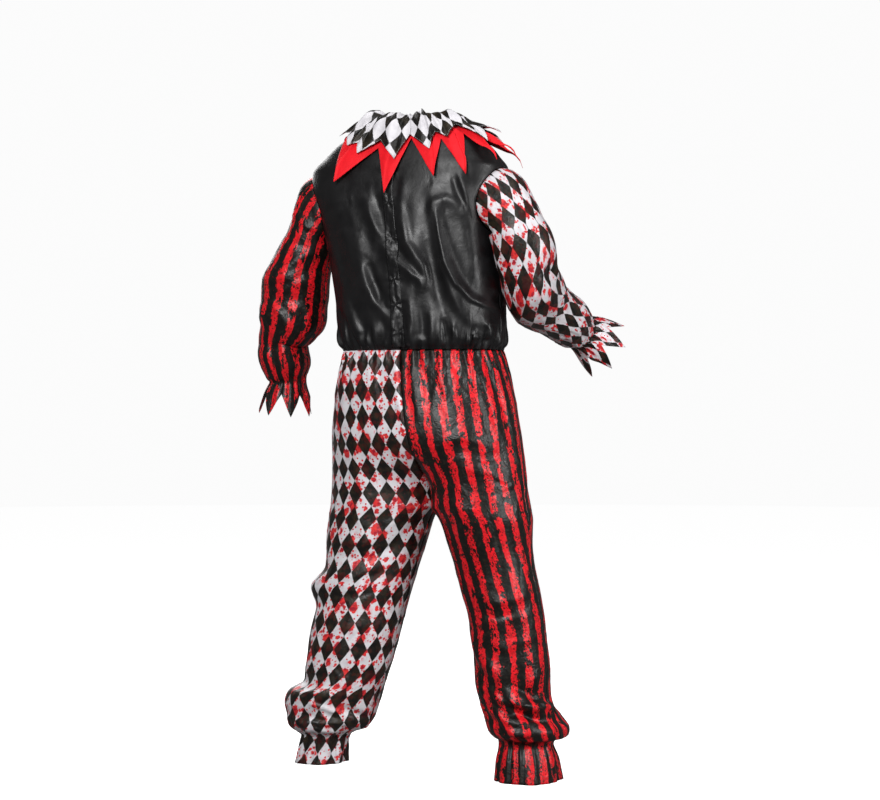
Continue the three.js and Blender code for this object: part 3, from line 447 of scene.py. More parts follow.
def torso_reach(side, y, z):
    """How far to its side the bodice reaches at this depth and height."""
    middle_x, middle_y, wide, deep, _ = (column(z) for column in TORSO_AT)
    across = np.clip((y - middle_y) / deep, -1, 1)
    angle = np.arcsin(across)
    for _ in range(4):
        angle = angle - (plan(angle, 0.18)[1] - across) / np.maximum(0.3, np.cos(angle))
    return side * middle_x + wide * plan(angle, 0.18)[0]


def trouser_leg(side, rows, folds):
    """A leg's surface: level is -1 at the waist, 0 at the fork, then the table's row."""
    z_at, inner_at, outer_at, y_at, deep_at = (through(rows, n) for n in range(5))
    last = len(rows) - 1
    elastic = last - 2
    ankle_z = rows[elastic][0]

    def surface(turn, level):
        turn, level = np.broadcast_arrays(turn, level)
        below = level >= 0
        row = np.maximum(level, 0)
        z = np.where(below, z_at(row), FORK + level * (FORK - WAIST))
        hip = np.where(below, FORK, z)
        share = np.where(below, 1, ease(SEAT, FORK, z) ** 1.5)
        tube_c, tube_s = plan(math.pi - TURN * turn, 0.04)
        seam, left, right, hip_y, hip_deep = (column(hip) for column in HIPS_AT)
        inner = np.where(below, inner_at(row), side * seam)
        outer = np.where(below, outer_at(row), left if side > 0 else -right)
        deep = np.where(below, deep_at(row), mix(hip_deep * 0.8, rows[0][4], share))
        y = np.where(below, y_at(row), hip_y)
        px = (inner + outer) / 2 + (outer - inner) / 2 * tube_c
        py = y + deep * tube_s
        angle = math.pi / 2 - math.pi * turn
        squareness = mix(0.18, 0.06, ease(WAIST, SEAT, hip))
        half_c, half_s = plan(angle, squareness)
        px = np.where(below, px, mix(inner + (outer - inner) * half_c, px, share))
        py = np.where(below, py, mix(y + hip_deep * half_s, py, share))
        facing = unit(stack(
            mix(np.cos(angle), np.cos(math.pi - TURN * turn), share),
            mix(np.sin(angle), np.sin(math.pi - TURN * turn), share),
            0,
        ))
        rise = fold_rise(folds, turn, z, 620) * ease(0, 0.05, turn) * ease(1, 0.95, turn)
        rise = rise * ease(WAIST, WAIST - 50, z) * ease(ankle_z, ankle_z + 25, z)
        world_angle = angle if side > 0 else math.pi - angle
        rise = rise + np.where(below, 0, waist_gathers(world_angle, WAIST - z, 120))
        seed = 20 if side > 0 else 30
        near = gather_run(turn, z - ankle_z, 62, 18, seed)
        fine = 3.2 * uneven(turn, 22, seed + 1) + 1.0 * uneven(turn, 48, seed + 2)
        frill = np.clip((level - elastic) / 2, 0, 1)
        wide_ones = 5.2 * uneven(turn, 9, seed + 3) + 1.4 * uneven(turn, 22, seed + 1)
        rise = rise + np.where(
            below & (level > elastic), mix(fine, wide_ones, frill), np.where(below, fine * near, 0)
        )
        point = stack(px, py, z) + facing * rise[..., None]
        return point * np.array([side, 1, 1])

    surface.levels = (last, elastic)
    return surface


def armhole_point(side, turn, shrink):
    """A point on the armhole's edge, or inside it where shrink is under 1."""
    angle = -shrink * ARMHOLE_REACH * np.sin(TURN * turn)
    z = ARMHOLE_Z + shrink * ARMHOLE_TALL * np.cos(TURN * turn)
    return bodice(angle if side > 0 else math.pi - angle, z) * np.array([side, 1, 1])


def sleeve(side, rows, folds):
    """A sleeve's surface: level is -1 at the armhole, then the table's row."""
    x_at, y_at, z_at, wide_at, deep_at, turn_at = (through(rows, n) for n in range(6))
    last = len(rows) - 1
    elastic = last - 2

    def centre(level):
        return stack(x_at(level), y_at(level), z_at(level))

    def ring_point(turn, level):
        along = unit(centre(level + 0.3) - centre(level - 0.3))
        plane = np.radians(turn_at(level))
        out = stack(np.cos(plane), np.sin(plane), 0)
        out = unit(out - along * (out * along).sum(-1, keepdims=True))
        front = np.cross(along, out)
        c, s = plan(TURN * turn, 0.05)
        facing = unit(out * c[..., None] + front * s[..., None])
        rise = fold_rise(folds, turn, z_at(level), 420) * ease(0.48, 0.4, np.abs(turn % 1 - 0.5))
        rise = rise * ease(elastic, elastic - 1, level) * ease(-0.2, 0.6, level)
        seed = 40 if side > 0 else 50
        frill = np.clip((level - elastic) / 2, 0, 1)
        away = length(centre(np.minimum(level, elastic)) - centre(np.full_like(level, elastic)))[..., 0]
        fine = 2.3 * uneven(turn, 20, seed) + 0.8 * uneven(turn, 44, seed + 1)
        wide_ones = 3.2 * uneven(turn, 9, seed + 2)
        waves = mix(fine, wide_ones, frill)
        rise = rise + np.where(level > elastic, waves, fine * gather_run(turn, away, 48, 14, seed + 3))
        return (
            centre(level) + out * (wide_at(level) * c)[..., None]
            + front * (deep_at(level) * s)[..., None] + facing * rise[..., None]
        )

    def clear(point, gap):
        """Push what would lie in the bodice out to gap mm beside it."""
        inside = torso_reach(side, point[..., 1], point[..., 2]) + gap - point[..., 0]
        near = (point[..., 2] < -110) & (np.abs(point[..., 1]) < 130) & (inside > 0)
        point[..., 0] += np.where(near, inside, 0)
        return point

    def surface(turn, level):
        turn, level = (a.astype(float) for a in np.broadcast_arrays(turn, level))
        down = np.maximum(level, 0)
        below = clear(ring_point(turn, down), 7)
        t = np.clip(level + 1, 0, 1)
        start = armhole_point(side, turn, 1 - SEAM / ARMHOLE_TALL)
        first = np.zeros_like(level)
        end = clear(ring_point(turn, first), 7)
        span = length(end - start)
        tilt = -0.3 - 0.3 * ease(0.2, 0.5, 0.5 - np.abs(turn % 1 - 0.5))
        leave = unit(stack(1, 0, tilt))
        arrive = unit(ring_point(turn, first + 0.05) - ring_point(turn, first))
        t = t[..., None]
        s = 1 - t
        above = start * (s * s * (1 + 2 * t)) + leave * 1.1 * span * t * s * s
        above = above + end * (t * t * (3 - 2 * t)) - arrive * span * t * t * s
        share = t[..., 0]
        above = np.where(t > 0.3, clear(above.copy(), 7 * ease(0.3, 1, share)), above)
        return np.where((level >= 0)[..., None], below, above) * np.array([side, 1, 1])

    def down_the_arm(turn, level, point):
        """Distance down the arm, for the print: level with the first ring it is 0."""
        fine = np.linspace(0, last, 400)
        path = np.concatenate([[0], np.cumsum(length(np.diff(centre(fine), axis=0))[:, 0])])
        origin = centre(np.array(0.0))
        axis = unit(centre(np.array(0.6)) - origin)
        off = point * np.array([side, 1, 1]) - origin
        above = (off * axis).sum(-1)
        down = np.where(level >= 0, np.interp(level, fine, path), above * ease(0, 0.2, -level))
        plane = math.radians(float(turn_at(np.array(0.0))))
        out = stack(math.cos(plane), math.sin(plane), 0)
        out = unit(out - axis * (out * axis).sum())
        own = float(wide_at(np.array(0.0))) * np.cos(TURN * turn)
        moved = -np.sin(TURN * turn) * ((off * out).sum(-1) - own)
        return down, np.where(level >= 0, 0, moved)

    surface.levels = (last, elastic)
    surface.down_the_arm = down_the_arm
    return surface


def facing_out(surface, u, v, du, dv, guide):
    """A surface's normals, on the side that guide points to."""
    across = surface(u + du, v) - surface(u - du, v)
    along = surface(u, v + dv) - surface(u, v - dv)
    normal = unit(np.cross(across, along))
    sign = np.where((normal * guide).sum(-1, keepdims=True) < 0, -1, 1)
    return normal * sign


def over_shoulder(angle, reach, lift):
    """Points that lie reach mm down the bodice from the neck, and lift mm over it."""
    step_z = 4.0
    z = np.full_like(angle, TORSO[0][0])
    here = bodice(angle, z)
    gone = np.zeros_like(angle)
    done = gone >= reach
    for _ in range(70):
        following = bodice(angle, z - step_z)
        step = length(following - here)[..., 0]
        moving = ~done
        arrives = moving & (gone + step >= reach)
        part = np.where(arrives, (reach - gone) / np.maximum(step, 1e-6), 1)
        z = np.where(moving, z - step_z * part, z)
        here = np.where(moving[..., None], bodice(angle, z), here)
        gone = np.where(moving, gone + step * part, gone)
        done = done | arrives
        if done.all():
            break
    guide = stack(np.cos(angle), np.sin(angle), 0.6)
    normal = facing_out(bodice, angle, np.minimum(z, TORSO[0][0] - 1), 0.01, 1.0, guide)
    return here + normal * lift[..., None]


# ---------------------------------------------------------------- creases


def line_rise(px, py, line, broad, rise):
    """A soft ridge or trough along a bent line on the view."""
    at = np.array(line, float)
    legs = np.hypot(*(at[1:] - at[:-1]).T)
    passed = np.concatenate([[0], np.cumsum(legs)])
    nearest = np.full(px.shape, 1e9)
    share = np.zeros(px.shape)
    steep = np.zeros(px.shape, bool)
    lean = 1 if int(line[0][0] + line[0][1]) % 2 else -1
    for i, leg in enumerate(legs):
        ax, ay = at[i]
        dx, dy = (at[i + 1] - at[i]) / leg
        t = np.clip((px - ax) * dx + (py - ay) * dy, 0, leg)
        off = np.hypot(px - ax - t * dx, py - ay - t * dy)
        closer = off < nearest
        nearest = np.where(closer, off, nearest)
        share = np.where(closer, (passed[i] + t) / passed[-1], share)
        beside = (px - ax) * dy - (py - ay) * dx
        steep = np.where(closer, beside * lean > 0, steep)
    nearest = nearest / np.where(steep, 0.75, 1.9)
    fade = 0.25 + 0.75 * np.sin(math.pi * np.clip(share, 0, 1)) ** 0.7
    return rise * np.exp(-((nearest / broad) ** 2)) * fade


# The front's creases are the back's, turned about the body's middle on the view
MIRROR_X, MIRROR_Y = 834, 9


def crease(points, normals, lines):
    """Rise from the creases on the seen side, and from the same ones turned about on the far."""
    px, py = on_picture(points)
    towards = -(normals @ AHEAD)
    seen, far = ease(0.05, 0.4, towards), ease(0.05, 0.4, -towards)
    rise = np.zeros(px.shape)
    for broad, high, *line in lines:
        line = np.reshape(line, (-1, 2))
        low, top = np.min(line, axis=0) - 5 * broad, np.max(line, axis=0) + 5 * broad
        for across, down, strength in ((px, py, seen), (MIRROR_X - px, py + MIRROR_Y, far)):
            near = (across > low[0]) & (across < top[0]) & (down > low[1]) & (down < top[1])
            near = near & (strength > 0)
            if near.any():
                rise[near] += line_rise(across[near], down[near], line, broad, high) * strength[near]
    return rise


def crumple(points, size, high, stretch):
    """Small sharp creases of thin satin, uneven all over."""
    scaled = points / (size * np.array([1, 1, stretch]))
    bent = scaled + 0.7 * np.stack([soft_noise(scaled * 0.9 + shift) for shift in (3.1, 9.7, 17.3)], -1)
    ridge = (1 - np.abs(soft_noise(bent))) ** 3
    small = (1 - np.abs(soft_noise(bent * 2.3 + 5.5))) ** 3
    patch = ease(-0.5, 0.5, soft_noise(points / 110 + 4.2))
    return high * (ridge - 0.35 + 0.4 * (small - 0.35)) * mix(0.45, 1.15, patch)


def grid_normals(points, guide):
    """A grid's normals, on the side that guide mostly points to."""
    across = np.gradient(points, axis=1)
    along = np.gradient(points, axis=0)
    normals = unit(np.cross(across, along))
    if ((normals * guide).sum(-1)).mean() < 0:
        normals = -normals
    return normals


# ---------------------------------------------------------------- making a sheet


def deselect():
    for thing in bpy.context.selected_objects:
        thing.select_set(False)


SATIN_WALL, PLACKET_WALL, COLLAR_WALL = 0.7, 0.8, 0.8


def cloth_sheet(name, points, cut, wall, outward):
    """A flat grid of cloth, laid on its points, with its cut as a UV map in metres."""
    rows, across = points.shape[:2]
    deselect()
    bpy.ops.mesh.primitive_grid_add(x_subdivisions=across - 1, y_subdivisions=rows - 1, size=1)
    piece = bpy.context.object
    piece.name = name
    mesh = piece.data
    flat = np.empty(len(mesh.vertices) * 3)
    mesh.vertices.foreach_get("co", flat)
    flat = flat.reshape(-1, 3)
    i = np.rint((0.5 - flat[:, 1]) * (rows - 1)).astype(int)
    j = np.rint((flat[:, 0] + 0.5) * (across - 1)).astype(int)
    mesh.vertices.foreach_set("co", (points[i, j] / 1000).ravel())
    corners = np.empty(len(mesh.loops), int)
    mesh.loops.foreach_get("vertex_index", corners)
    layer = mesh.uv_layers[0]
    layer.name = "cut"
    layer.data.foreach_set("uv", (cut[i, j] / 1000)[corners].ravel())
    mesh.update()
    face = mesh.polygons[len(mesh.polygons) // 2]
    if Vector(outward(np.array(face.center) * 1000)).dot(face.normal) < 0:
        mesh.flip_normals()
    solid = piece.modifiers.new("cloth", "SOLIDIFY")
    solid.thickness = wall / 1000
    solid.offset = -1
    deselect()
    piece.select_set(True)
    bpy.context.view_layer.objects.active = piece
    bpy.ops.object.modifier_apply(modifier="cloth")
    bpy.ops.object.shade_smooth()
    return piece


def hand_over(piece, node, material, cut):
    """Give a sheet its finish, hang it from the root, hide the part it stands for, and print the flat
    size it was cut to.
    """
    piece.data.materials.clear()
    piece.data.materials.append(material)
    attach(piece, "root")
    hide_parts(node)
    size = (cut.reshape(-1, 2).max(0) - cut.reshape(-1, 2).min(0)) / 1000
    a = cut[1:, 1:] - cut[:-1, :-1]
    b = cut[1:, :-1] - cut[:-1, 1:]
    area = np.abs(a[..., 0] * b[..., 1] - a[..., 1] * b[..., 0]).sum() / 2e6
    whole = float(size[0] * size[1])
    area = min(max(area, 0.31 * whole), whole)
    print(f"{node}: cut {size[0]:.3f} x {size[1]:.3f} m, {area:.3f} m2")


def spaced(*parts):
    """Values from part to part: (start, end, count), ends shared."""
    values = [np.linspace(start, end, count + 1)[:-1] for start, end, count in parts]
    return np.concatenate(values + [[parts[-1][1]]])


def arc_down(points):
    steps = length(np.diff(points, axis=0))[..., 0]
    middle = steps[:, steps.shape[1] // 4: -steps.shape[1] // 4 or None].mean(1)
    return np.concatenate([[0], np.cumsum(middle)])


def seam_distance(points):
    """Distance in mm from each point to the nearer side edge of its panel."""
    steps = length(np.diff(points, axis=1))[..., 0]
    from_left = np.concatenate([np.zeros((len(points), 1)), np.cumsum(steps, 1)], 1)
    return np.minimum(from_left, from_left[:, -1:] - from_left)


def sewn_edge(points, off, seed):
    """A seam pulls its cloth in and puckers it a little."""
    pucker = soft_noise(points / 9 + seed)
    return -1.5 * np.exp(-((off / 3) ** 2)) + 0.8 * pucker * np.exp(-off / 7)


# ---------------------------------------------------------------- shader helpers


class Board:
    """Short calls for laying out a node tree."""

    def __init__(self, tree):
        self.tree = tree

    def node(self, kind, **settings):
        made = self.tree.nodes.new(kind)
        for key, value in settings.items():
            setattr(made, key, value)
        return made

    def wire(self, source, target):
        if isinstance(source, (int, float, tuple)):
            target.default_value = source
        else:
            self.tree.links.new(source, target)

    def sum(self, kind, a, b=None, clamp=False):
        made = self.node("ShaderNodeMath", operation=kind, use_clamp=clamp)
        for value, socket in zip((a, b), made.inputs):
            if value is not None:
                self.wire(value, socket)
        return made.outputs[0]

    def add(self, a, b):
        return self.sum("ADD", a, b)

    def less(self, a, b, clamp=False):
        return self.sum("SUBTRACT", a, b, clamp)

    def times(self, a, b, clamp=False):
        return self.sum("MULTIPLY", a, b, clamp)

    def place(self, kind, a, b=None, scale=None):
        made = self.node("ShaderNodeVectorMath", operation=kind)
        self.wire(a, made.inputs[0])
        if b is not None:
            self.wire(b, made.inputs[1])
        if scale is not None:
            self.wire(scale, made.inputs["Scale"])
        return made.outputs[0]

    def in_mm(self, metres):
        return self.place("SCALE", metres, scale=1000.0)

    def ramp(self, value, start, end, low=0.0, high=1.0):
        made = self.node("ShaderNodeMapRange", interpolation_type="SMOOTHSTEP")
        names = ("Value", "From Min", "From Max", "To Min", "To Max")
        for source, name in zip((value, start, end, low, high), names):
            self.wire(source, made.inputs[name])
        return made.outputs[0]

    def noise(self, vector, scale, detail=3.0, rough=0.55, colour=False):
        made = self.node("ShaderNodeTexNoise")
        self.wire(vector, made.inputs["Vector"])
        self.wire(scale, made.inputs["Scale"])
        made.inputs["Detail"].default_value = detail
        made.inputs["Roughness"].default_value = rough
        return made.outputs["Color" if colour else "Fac"]

    def grain(self, mm, across, down, detail, rough=0.55, colour=False):
        """Noise with its own pitch across the cloth and down it, in grains per mm."""
        return self.noise(self.place("MULTIPLY", mm, (across, down, 1.0)), 1.0, detail, rough, colour)

    def spots(self, vector):
        made = self.node("ShaderNodeTexVoronoi", feature="F1")
        self.wire(vector, made.inputs["Vector"])
        self.wire(1.0, made.inputs["Scale"])
        return made.outputs

    def apart(self, vector):
        made = self.node("ShaderNodeSeparateXYZ")
        self.wire(vector, made.inputs[0])
        return made.outputs

    def blend(self, share, a, b):
        made = self.node("ShaderNodeMix", data_type="RGBA")
        for source, index in ((share, 0), (a, 6), (b, 7)):
            self.wire(source, made.inputs[index])
        return made.outputs[2]

    def use(self, group, **values):
        made = self.node("ShaderNodeGroup", node_tree=group)
        for key, value in values.items():
            self.wire(value, made.inputs[key])
        return made.outputs

    def bump(self, height, strength, distance, normal=None):
        made = self.node("ShaderNodeBump")
        made.inputs["Strength"].default_value = strength
        made.inputs["Distance"].default_value = distance
        self.wire(height, made.inputs["Height"])
        if normal is not None:
            self.wire(normal, made.inputs["Normal"])
        return made.outputs[0]


def effect(name, source, values, outputs):
    """A node group with one vector input, some values and some outputs."""
    tree = bpy.data.node_groups.new(name, "ShaderNodeTree")
    tree.interface.new_socket(name=source, in_out="INPUT", socket_type="NodeSocketVector")
    for label, default in values.items():
        socket = tree.interface.new_socket(name=label, in_out="INPUT", socket_type="NodeSocketFloat")
        socket.default_value = default
    for label in outputs:
        tree.interface.new_socket(name=label, in_out="OUTPUT", socket_type="NodeSocketFloat")
    board = Board(tree)
    given = board.node("NodeGroupInput").outputs
    return board, given, board.node("NodeGroupOutput").inputs, board.in_mm(given[source])


def satin_weave():
    """Fine floats of a satin or felt: a height along the threads."""
    board, given, out, mm = effect("satin weave", "Cut", {"Thread": 0.6}, ["Height"])
    scaled = board.place("DIVIDE", mm, board.place("MULTIPLY", (1.0, 3.0, 1.0), given["Thread"]))
    floats = board.times(board.grain(mm, 0.9, 0.06, 2.0), 0.6)
    board.wire(board.add(board.noise(scaled, 1.0, 2.0), floats), out["Height"])
    return board.tree


def fine_crinkle():
    """Small soft wrinkles in thin cloth, sharp along their crests."""
    board, given, out, mm = effect("fine crinkle", "Place", {"Size": 14.0}, ["Height"])
    scaled = board.place("DIVIDE", mm, given["Size"])
    bend = board.noise(board.place("MULTIPLY", scaled, (0.5, 0.5, 0.5)), 1.0, 2.0, colour=True)
    warped = board.place("ADD", scaled, board.place("SCALE", bend, scale=2.4))
    ridge = board.sum("ABSOLUTE", board.less(board.noise(warped, 0.9, 1.0), 0.5))
    ridge = board.less(1.0, board.times(ridge, 4.0), clamp=True)
    board.wire(board.add(board.times(ridge, 0.55), board.noise(warped, 0.5, 3.0)), out["Height"])
    return board.tree


def worn_stripes():
    """Stripes along the cloth with torn edges, eaten patches and specks."""
    board, given, out, mm = effect(
        "worn stripes", "Cut", {"Period": 36.0, "Share": 0.5, "Wear": 1.0}, ["Stripe", "Shade"]
    )
    torn = board.grain(mm, 0.10, 0.075, 5.0, 0.62)
    place = board.sum("DIVIDE", board.apart(mm)["X"], given["Period"])
    index = board.sum("ROUND", place)
    off = board.sum("ABSOLUTE", board.less(place, index))
    own = board.node("ShaderNodeTexWhiteNoise", noise_dimensions="1D")
    board.wire(index, own.inputs["W"])
    # how worn a stripe is: partly its own, partly by long patches down it
    patches = board.grain(mm, 0.05, 0.0085, 2.0)
    wear = board.add(board.times(own.outputs["Value"], 0.5), board.ramp(patches, 0.38, 0.62))
    wear = board.times(board.times(wear, 0.72), given["Wear"], clamp=True)
    # its edge: torn, wandering, with chunks out of it
    ragged = board.times(board.less(torn, 0.5), board.add(0.10, board.times(wear, 0.62)))
    wander = board.grain(mm, 0.045, 0.012, 2.0)
    ragged = board.add(ragged, board.times(board.less(wander, 0.46), 0.42))
    chunk = board.grain(mm, 0.060, 0.034, 6.0, 0.66)
    ragged = board.add(ragged, board.times(board.ramp(chunk, 0.545, 0.575), 0.5))
    half = board.times(given["Share"], 0.5)
    solid = board.ramp(board.add(off, ragged), board.add(half, 0.022), board.less(half, 0.022))
    # its inside: eaten holes and specks, and flecks of red beside it
    limit = board.less(0.68, board.times(wear, 0.17))
    eaten = board.ramp(board.grain(mm, 0.24, 0.17, 4.0, 0.62), limit, board.add(limit, 0.025))
    specks = board.spots(board.place("MULTIPLY", mm, (0.17, 0.17, 1.0)))
    wide = board.times(specks["Color"], 0.52)
    speck = board.ramp(specks["Distance"], wide, board.less(wide, 0.10))
    flecks = board.grain(mm, 0.22, 0.10, 4.0, 0.6)
    fleck = board.times(board.ramp(flecks, 0.66, 0.70), board.ramp(patches, 0.52, 0.6))
    kept = board.times(solid, board.less(1.0, eaten))
    kept = board.times(kept, board.less(1.0, board.times(speck, 0.85)))
    board.wire(board.sum("MAXIMUM", kept, fleck), out["Stripe"])
    board.wire(torn, out["Shade"])
    return board.tree


def harlequin_print():
    """Diamonds in two colours, point to point."""
    board, given, out, mm = effect(
        "harlequin print", "Cut", {"Wide": 37.0, "Tall": 59.0}, ["Pale", "Shade"]
    )
    rough = board.grain(mm, 0.35, 0.35, 3.0)
    apart = board.apart(mm)
    across, along = (
        board.sum("COSINE", board.times(board.sum("DIVIDE", apart[axis], given[size]), TURN))
        for axis, size in (("X", "Wide"), ("Y", "Tall"))
    )
    field = board.add(board.add(across, along), board.times(board.less(rough, 0.5), 0.16))
    board.wire(board.ramp(field, -0.06, 0.06), out["Pale"])
    board.wire(board.grain(mm, 0.05, 0.05, 4.0), out["Shade"])
    return board.tree


def red_spatter():
    """Thrown drops: large blots, smaller drops and dots, with a paler rim."""
    board, given, out, mm = effect("red spatter", "Cut", {"Amount": 1.0}, ["Drop", "Rim", "Dark"])
    shake = board.grain(mm, 0.11, 0.11, 3.0, 0.6, colour=True)
    shake = board.place("SCALE", board.place("SUBTRACT", shake, (0.5, 0.5, 0.5)), scale=16.0)
    moved = board.place("ADD", mm, shake)
    drops = rims = 0.0
    for pitch, stretch, rare, size, source in (
        (26.0, 0.8, 0.30, 0.4092, moved), (13.0, 0.9, 0.25, 0.4092, moved), (6.5, 1.0, 0.60, 0.3844, mm),
    ):
        cell = board.spots(board.place("MULTIPLY", source, (1 / pitch, stretch / pitch, 0.0)))
        tint = board.node("ShaderNodeSeparateColor")
        board.wire(cell["Color"], tint.inputs[0])
        chance = board.less(tint.outputs[0], board.less(1.0, board.times(given["Amount"], 1 - rare)))
        radius = board.times(board.sum("MAXIMUM", board.times(chance, 3.0), 0.0, clamp=True), size)
        grown = board.less(radius, cell["Distance"])
        rim = board.times(board.ramp(grown, -0.14, 0.04), board.ramp(radius, 0.0, 0.1))
        drops = board.sum("MAXIMUM", drops, board.ramp(grown, 0.0, 0.05))
        rims = board.sum("MAXIMUM", rims, rim)
    board.wire(drops, out["Drop"])
    board.wire(rims, out["Rim"])
    board.wire(board.ramp(board.grain(mm, 0.12, 0.12, 3.0), 0.42, 0.62), out["Dark"])
    return board.tree


WEAVE, CRINKLE = satin_weave(), fine_crinkle()
STRIPES, HARLEQUIN, SPATTER = worn_stripes(), harlequin_print(), red_spatter()

BLACK = (0.0042, 0.004, 0.0045, 1)
BLACK_LIT = (0.0065, 0.0062, 0.0068, 1)
INK = (0.006, 0.0053, 0.0044, 1)
INK_WARM = (0.024, 0.017, 0.009, 1)
RED = (0.90, 0.011, 0.020, 1)
RED_DEEP = (0.30, 0.004, 0.008, 1)
FELT_RED = (0.90, 0.010, 0.020, 1)
FELT_RED_DEEP = (0.78, 0.007, 0.015, 1)
BLOT = (0.74, 0.035, 0.032, 1)
BLOT_DEEP = (0.36, 0.010, 0.026, 1)
PINK = (0.72, 0.36, 0.40, 1)
WHITE = (0.73, 0.71, 0.74, 1)
GREY = (0.60, 0.58, 0.62, 1)


def cloth_material(name, paint, rough, gloss, sheen, crinkle, thread, size=13.0):
    """A cloth: paint lays out its colour; weave and crinkle give its relief."""
    material = bpy.data.materials.new(name)
    material.use_nodes = True
    board = Board(material.node_tree)
    inputs = material.node_tree.nodes["Principled BSDF"].inputs
    cut = board.node("ShaderNodeUVMap", uv_map="cut").outputs[0]
    place = board.node("ShaderNodeTexCoord").outputs["Object"]
    colour, shade = paint(board, cut, place)
    weave = board.use(WEAVE, Cut=cut, Thread=thread)["Height"]
    wrinkle = board.use(CRINKLE, Place=place, Size=size)["Height"]
    relief = board.bump(wrinkle, crinkle, 0.0016, board.bump(weave, 0.25, 0.00025))
    board.wire(relief, inputs["Normal"])
    board.wire(colour, inputs["Base Color"])
    board.wire(board.ramp(shade, 0.3, 0.7, rough - 0.05, rough + 0.06), inputs["Roughness"])
    inputs["Specular IOR Level"].default_value = gloss
    inputs["Sheen Weight"].default_value = sheen
    inputs["Sheen Roughness"].default_value = 0.4
    return material


def plain_paint(dark, light):
    def paint(board, cut, place):
        shade = board.noise(board.in_mm(place), 0.03, 3.0)
        return board.blend(board.ramp(shade, 0.3, 0.7), dark, light), shade
    return paint


def stripe_paint(board, cut, place):
    stripe = board.use(STRIPES, Cut=cut)
    red = board.blend(board.ramp(stripe["Shade"], 0.35, 0.8), RED, RED_DEEP)
    ink = board.blend(board.ramp(stripe["Shade"], 0.5, 0.75), INK, INK_WARM)
    return board.blend(stripe["Stripe"], ink, red), stripe["Shade"]


def harlequin_paint(amount, wide=37.0, tall=59.0):
    def paint(board, cut, place):
        diamond = board.use(HARLEQUIN, Cut=cut, Wide=wide, Tall=tall)
        pale = board.blend(board.ramp(diamond["Shade"], 0.4, 0.75), WHITE, GREY)
        ink = board.blend(board.ramp(diamond["Shade"], 0.42, 0.66), INK, INK_WARM)
        if amount:
            drop = board.use(SPATTER, Cut=cut, Amount=amount)
            pale = board.blend(board.times(drop["Rim"], 0.62), pale, PINK)
            pale = board.blend(drop["Drop"], pale, board.blend(drop["Dark"], BLOT, BLOT_DEEP))
            ink = board.blend(board.times(drop["Drop"], 0.10), ink, RED_DEEP)
        return board.blend(diamond["Pale"], ink, pale), diamond["Shade"]
    return paint


def thread_material(name, dark, light):
    return cloth_material(name, plain_paint(dark, light), 0.5, 0.5, 0.1, 0.1, 0.3)


# name, paint, roughness, gloss, sheen, crinkle's strength, thread in mm, crinkle's size in mm
SATIN, STRIPED, HARLEQUINED, CHECKED, FELT = (
    cloth_material(*cloth)
    for cloth in (
        ("black satin", plain_paint(BLACK, BLACK_LIT), 0.42, 0.40, 0.0, 0.16, 0.6, 16.0),
        ("striped satin", stripe_paint, 0.40, 0.36, 0.0, 0.5, 0.7, 12.0),
        ("harlequin satin", harlequin_paint(1.3), 0.42, 0.34, 0.0, 0.46, 0.7, 12.0),
        ("collar harlequin", harlequin_paint(0.0, 31.0, 52.0), 0.46, 0.28, 0.0, 0.4, 0.7, 11.0),
        ("red cloth", plain_paint(FELT_RED, FELT_RED_DEEP), 0.62, 0.2, 0.1, 0.28, 0.9, 15.0),
    )
)
BLACK_THREAD = thread_material("black thread", (0.012, 0.012, 0.012, 1), (0.02, 0.02, 0.02, 1))
PALE_THREAD = thread_material("pale thread", (0.6, 0.58, 0.6, 1), (0.7, 0.68, 0.7, 1))
RED_THREAD = thread_material("red thread", (0.45, 0.006, 0.01, 1), (0.6, 0.01, 0.015, 1))

# ---------------------------------------------------------------- bodice

# The placket's fastenings, and the knots of puckers that they pull into the satin
FASTENINGS = (-118, -189, -268, -358, -411, -470)


def armhole_edge(z):
    height = np.clip((z - ARMHOLE_Z) / ARMHOLE_TALL, -1, 1)
    return ARMHOLE_REACH * np.sqrt(1 - height * height)


def bodice_levels():
    top, bottom = ARMHOLE_Z + ARMHOLE_TALL, ARMHOLE_Z - ARMHOLE_TALL
    round_armhole = ARMHOLE_Z + ARMHOLE_TALL * np.cos(np.linspace(0, math.pi, 49))[:-1]
    over, under = spaced((TORSO[0][0], top, 34))[:-1], spaced((bottom, WAIST + 0.2, 82))
    return np.concatenate([over, round_armhole, under])


def bodice_relief(points, normals):
    """The satin's creases, quiet under the collar."""
    z = points[..., 2]
    bare = ease(-95, -165, z)
    rise = crease(points, normals, BACK_CREASES) * bare
    rise = rise + crumple(points, size=60, high=1.5, stretch=2.2) * mix(0.25, 1, bare)
    for n, level in enumerate(FASTENINGS):
        dx = points[..., 0] - float(TORSO_AT[0](level))
        dz = z - level
        around = np.arctan2(dz, dx)
        away = np.hypot(dx, dz)
        rays = np.cos(5 * around + n * 1.7) * np.exp(-((away / 21) ** 2)) * ease(0, 8, away)
        rise = rise + 1.5 * rays * (points[..., 1] > 0)
    return rise * ease(WAIST - 2, WAIST + 30, z)


# A quarter of the bodice lies flat 1.32 times as wide as its half width, seen from behind
HALF_WIDTH, LAID_OUT = 196, 1.32


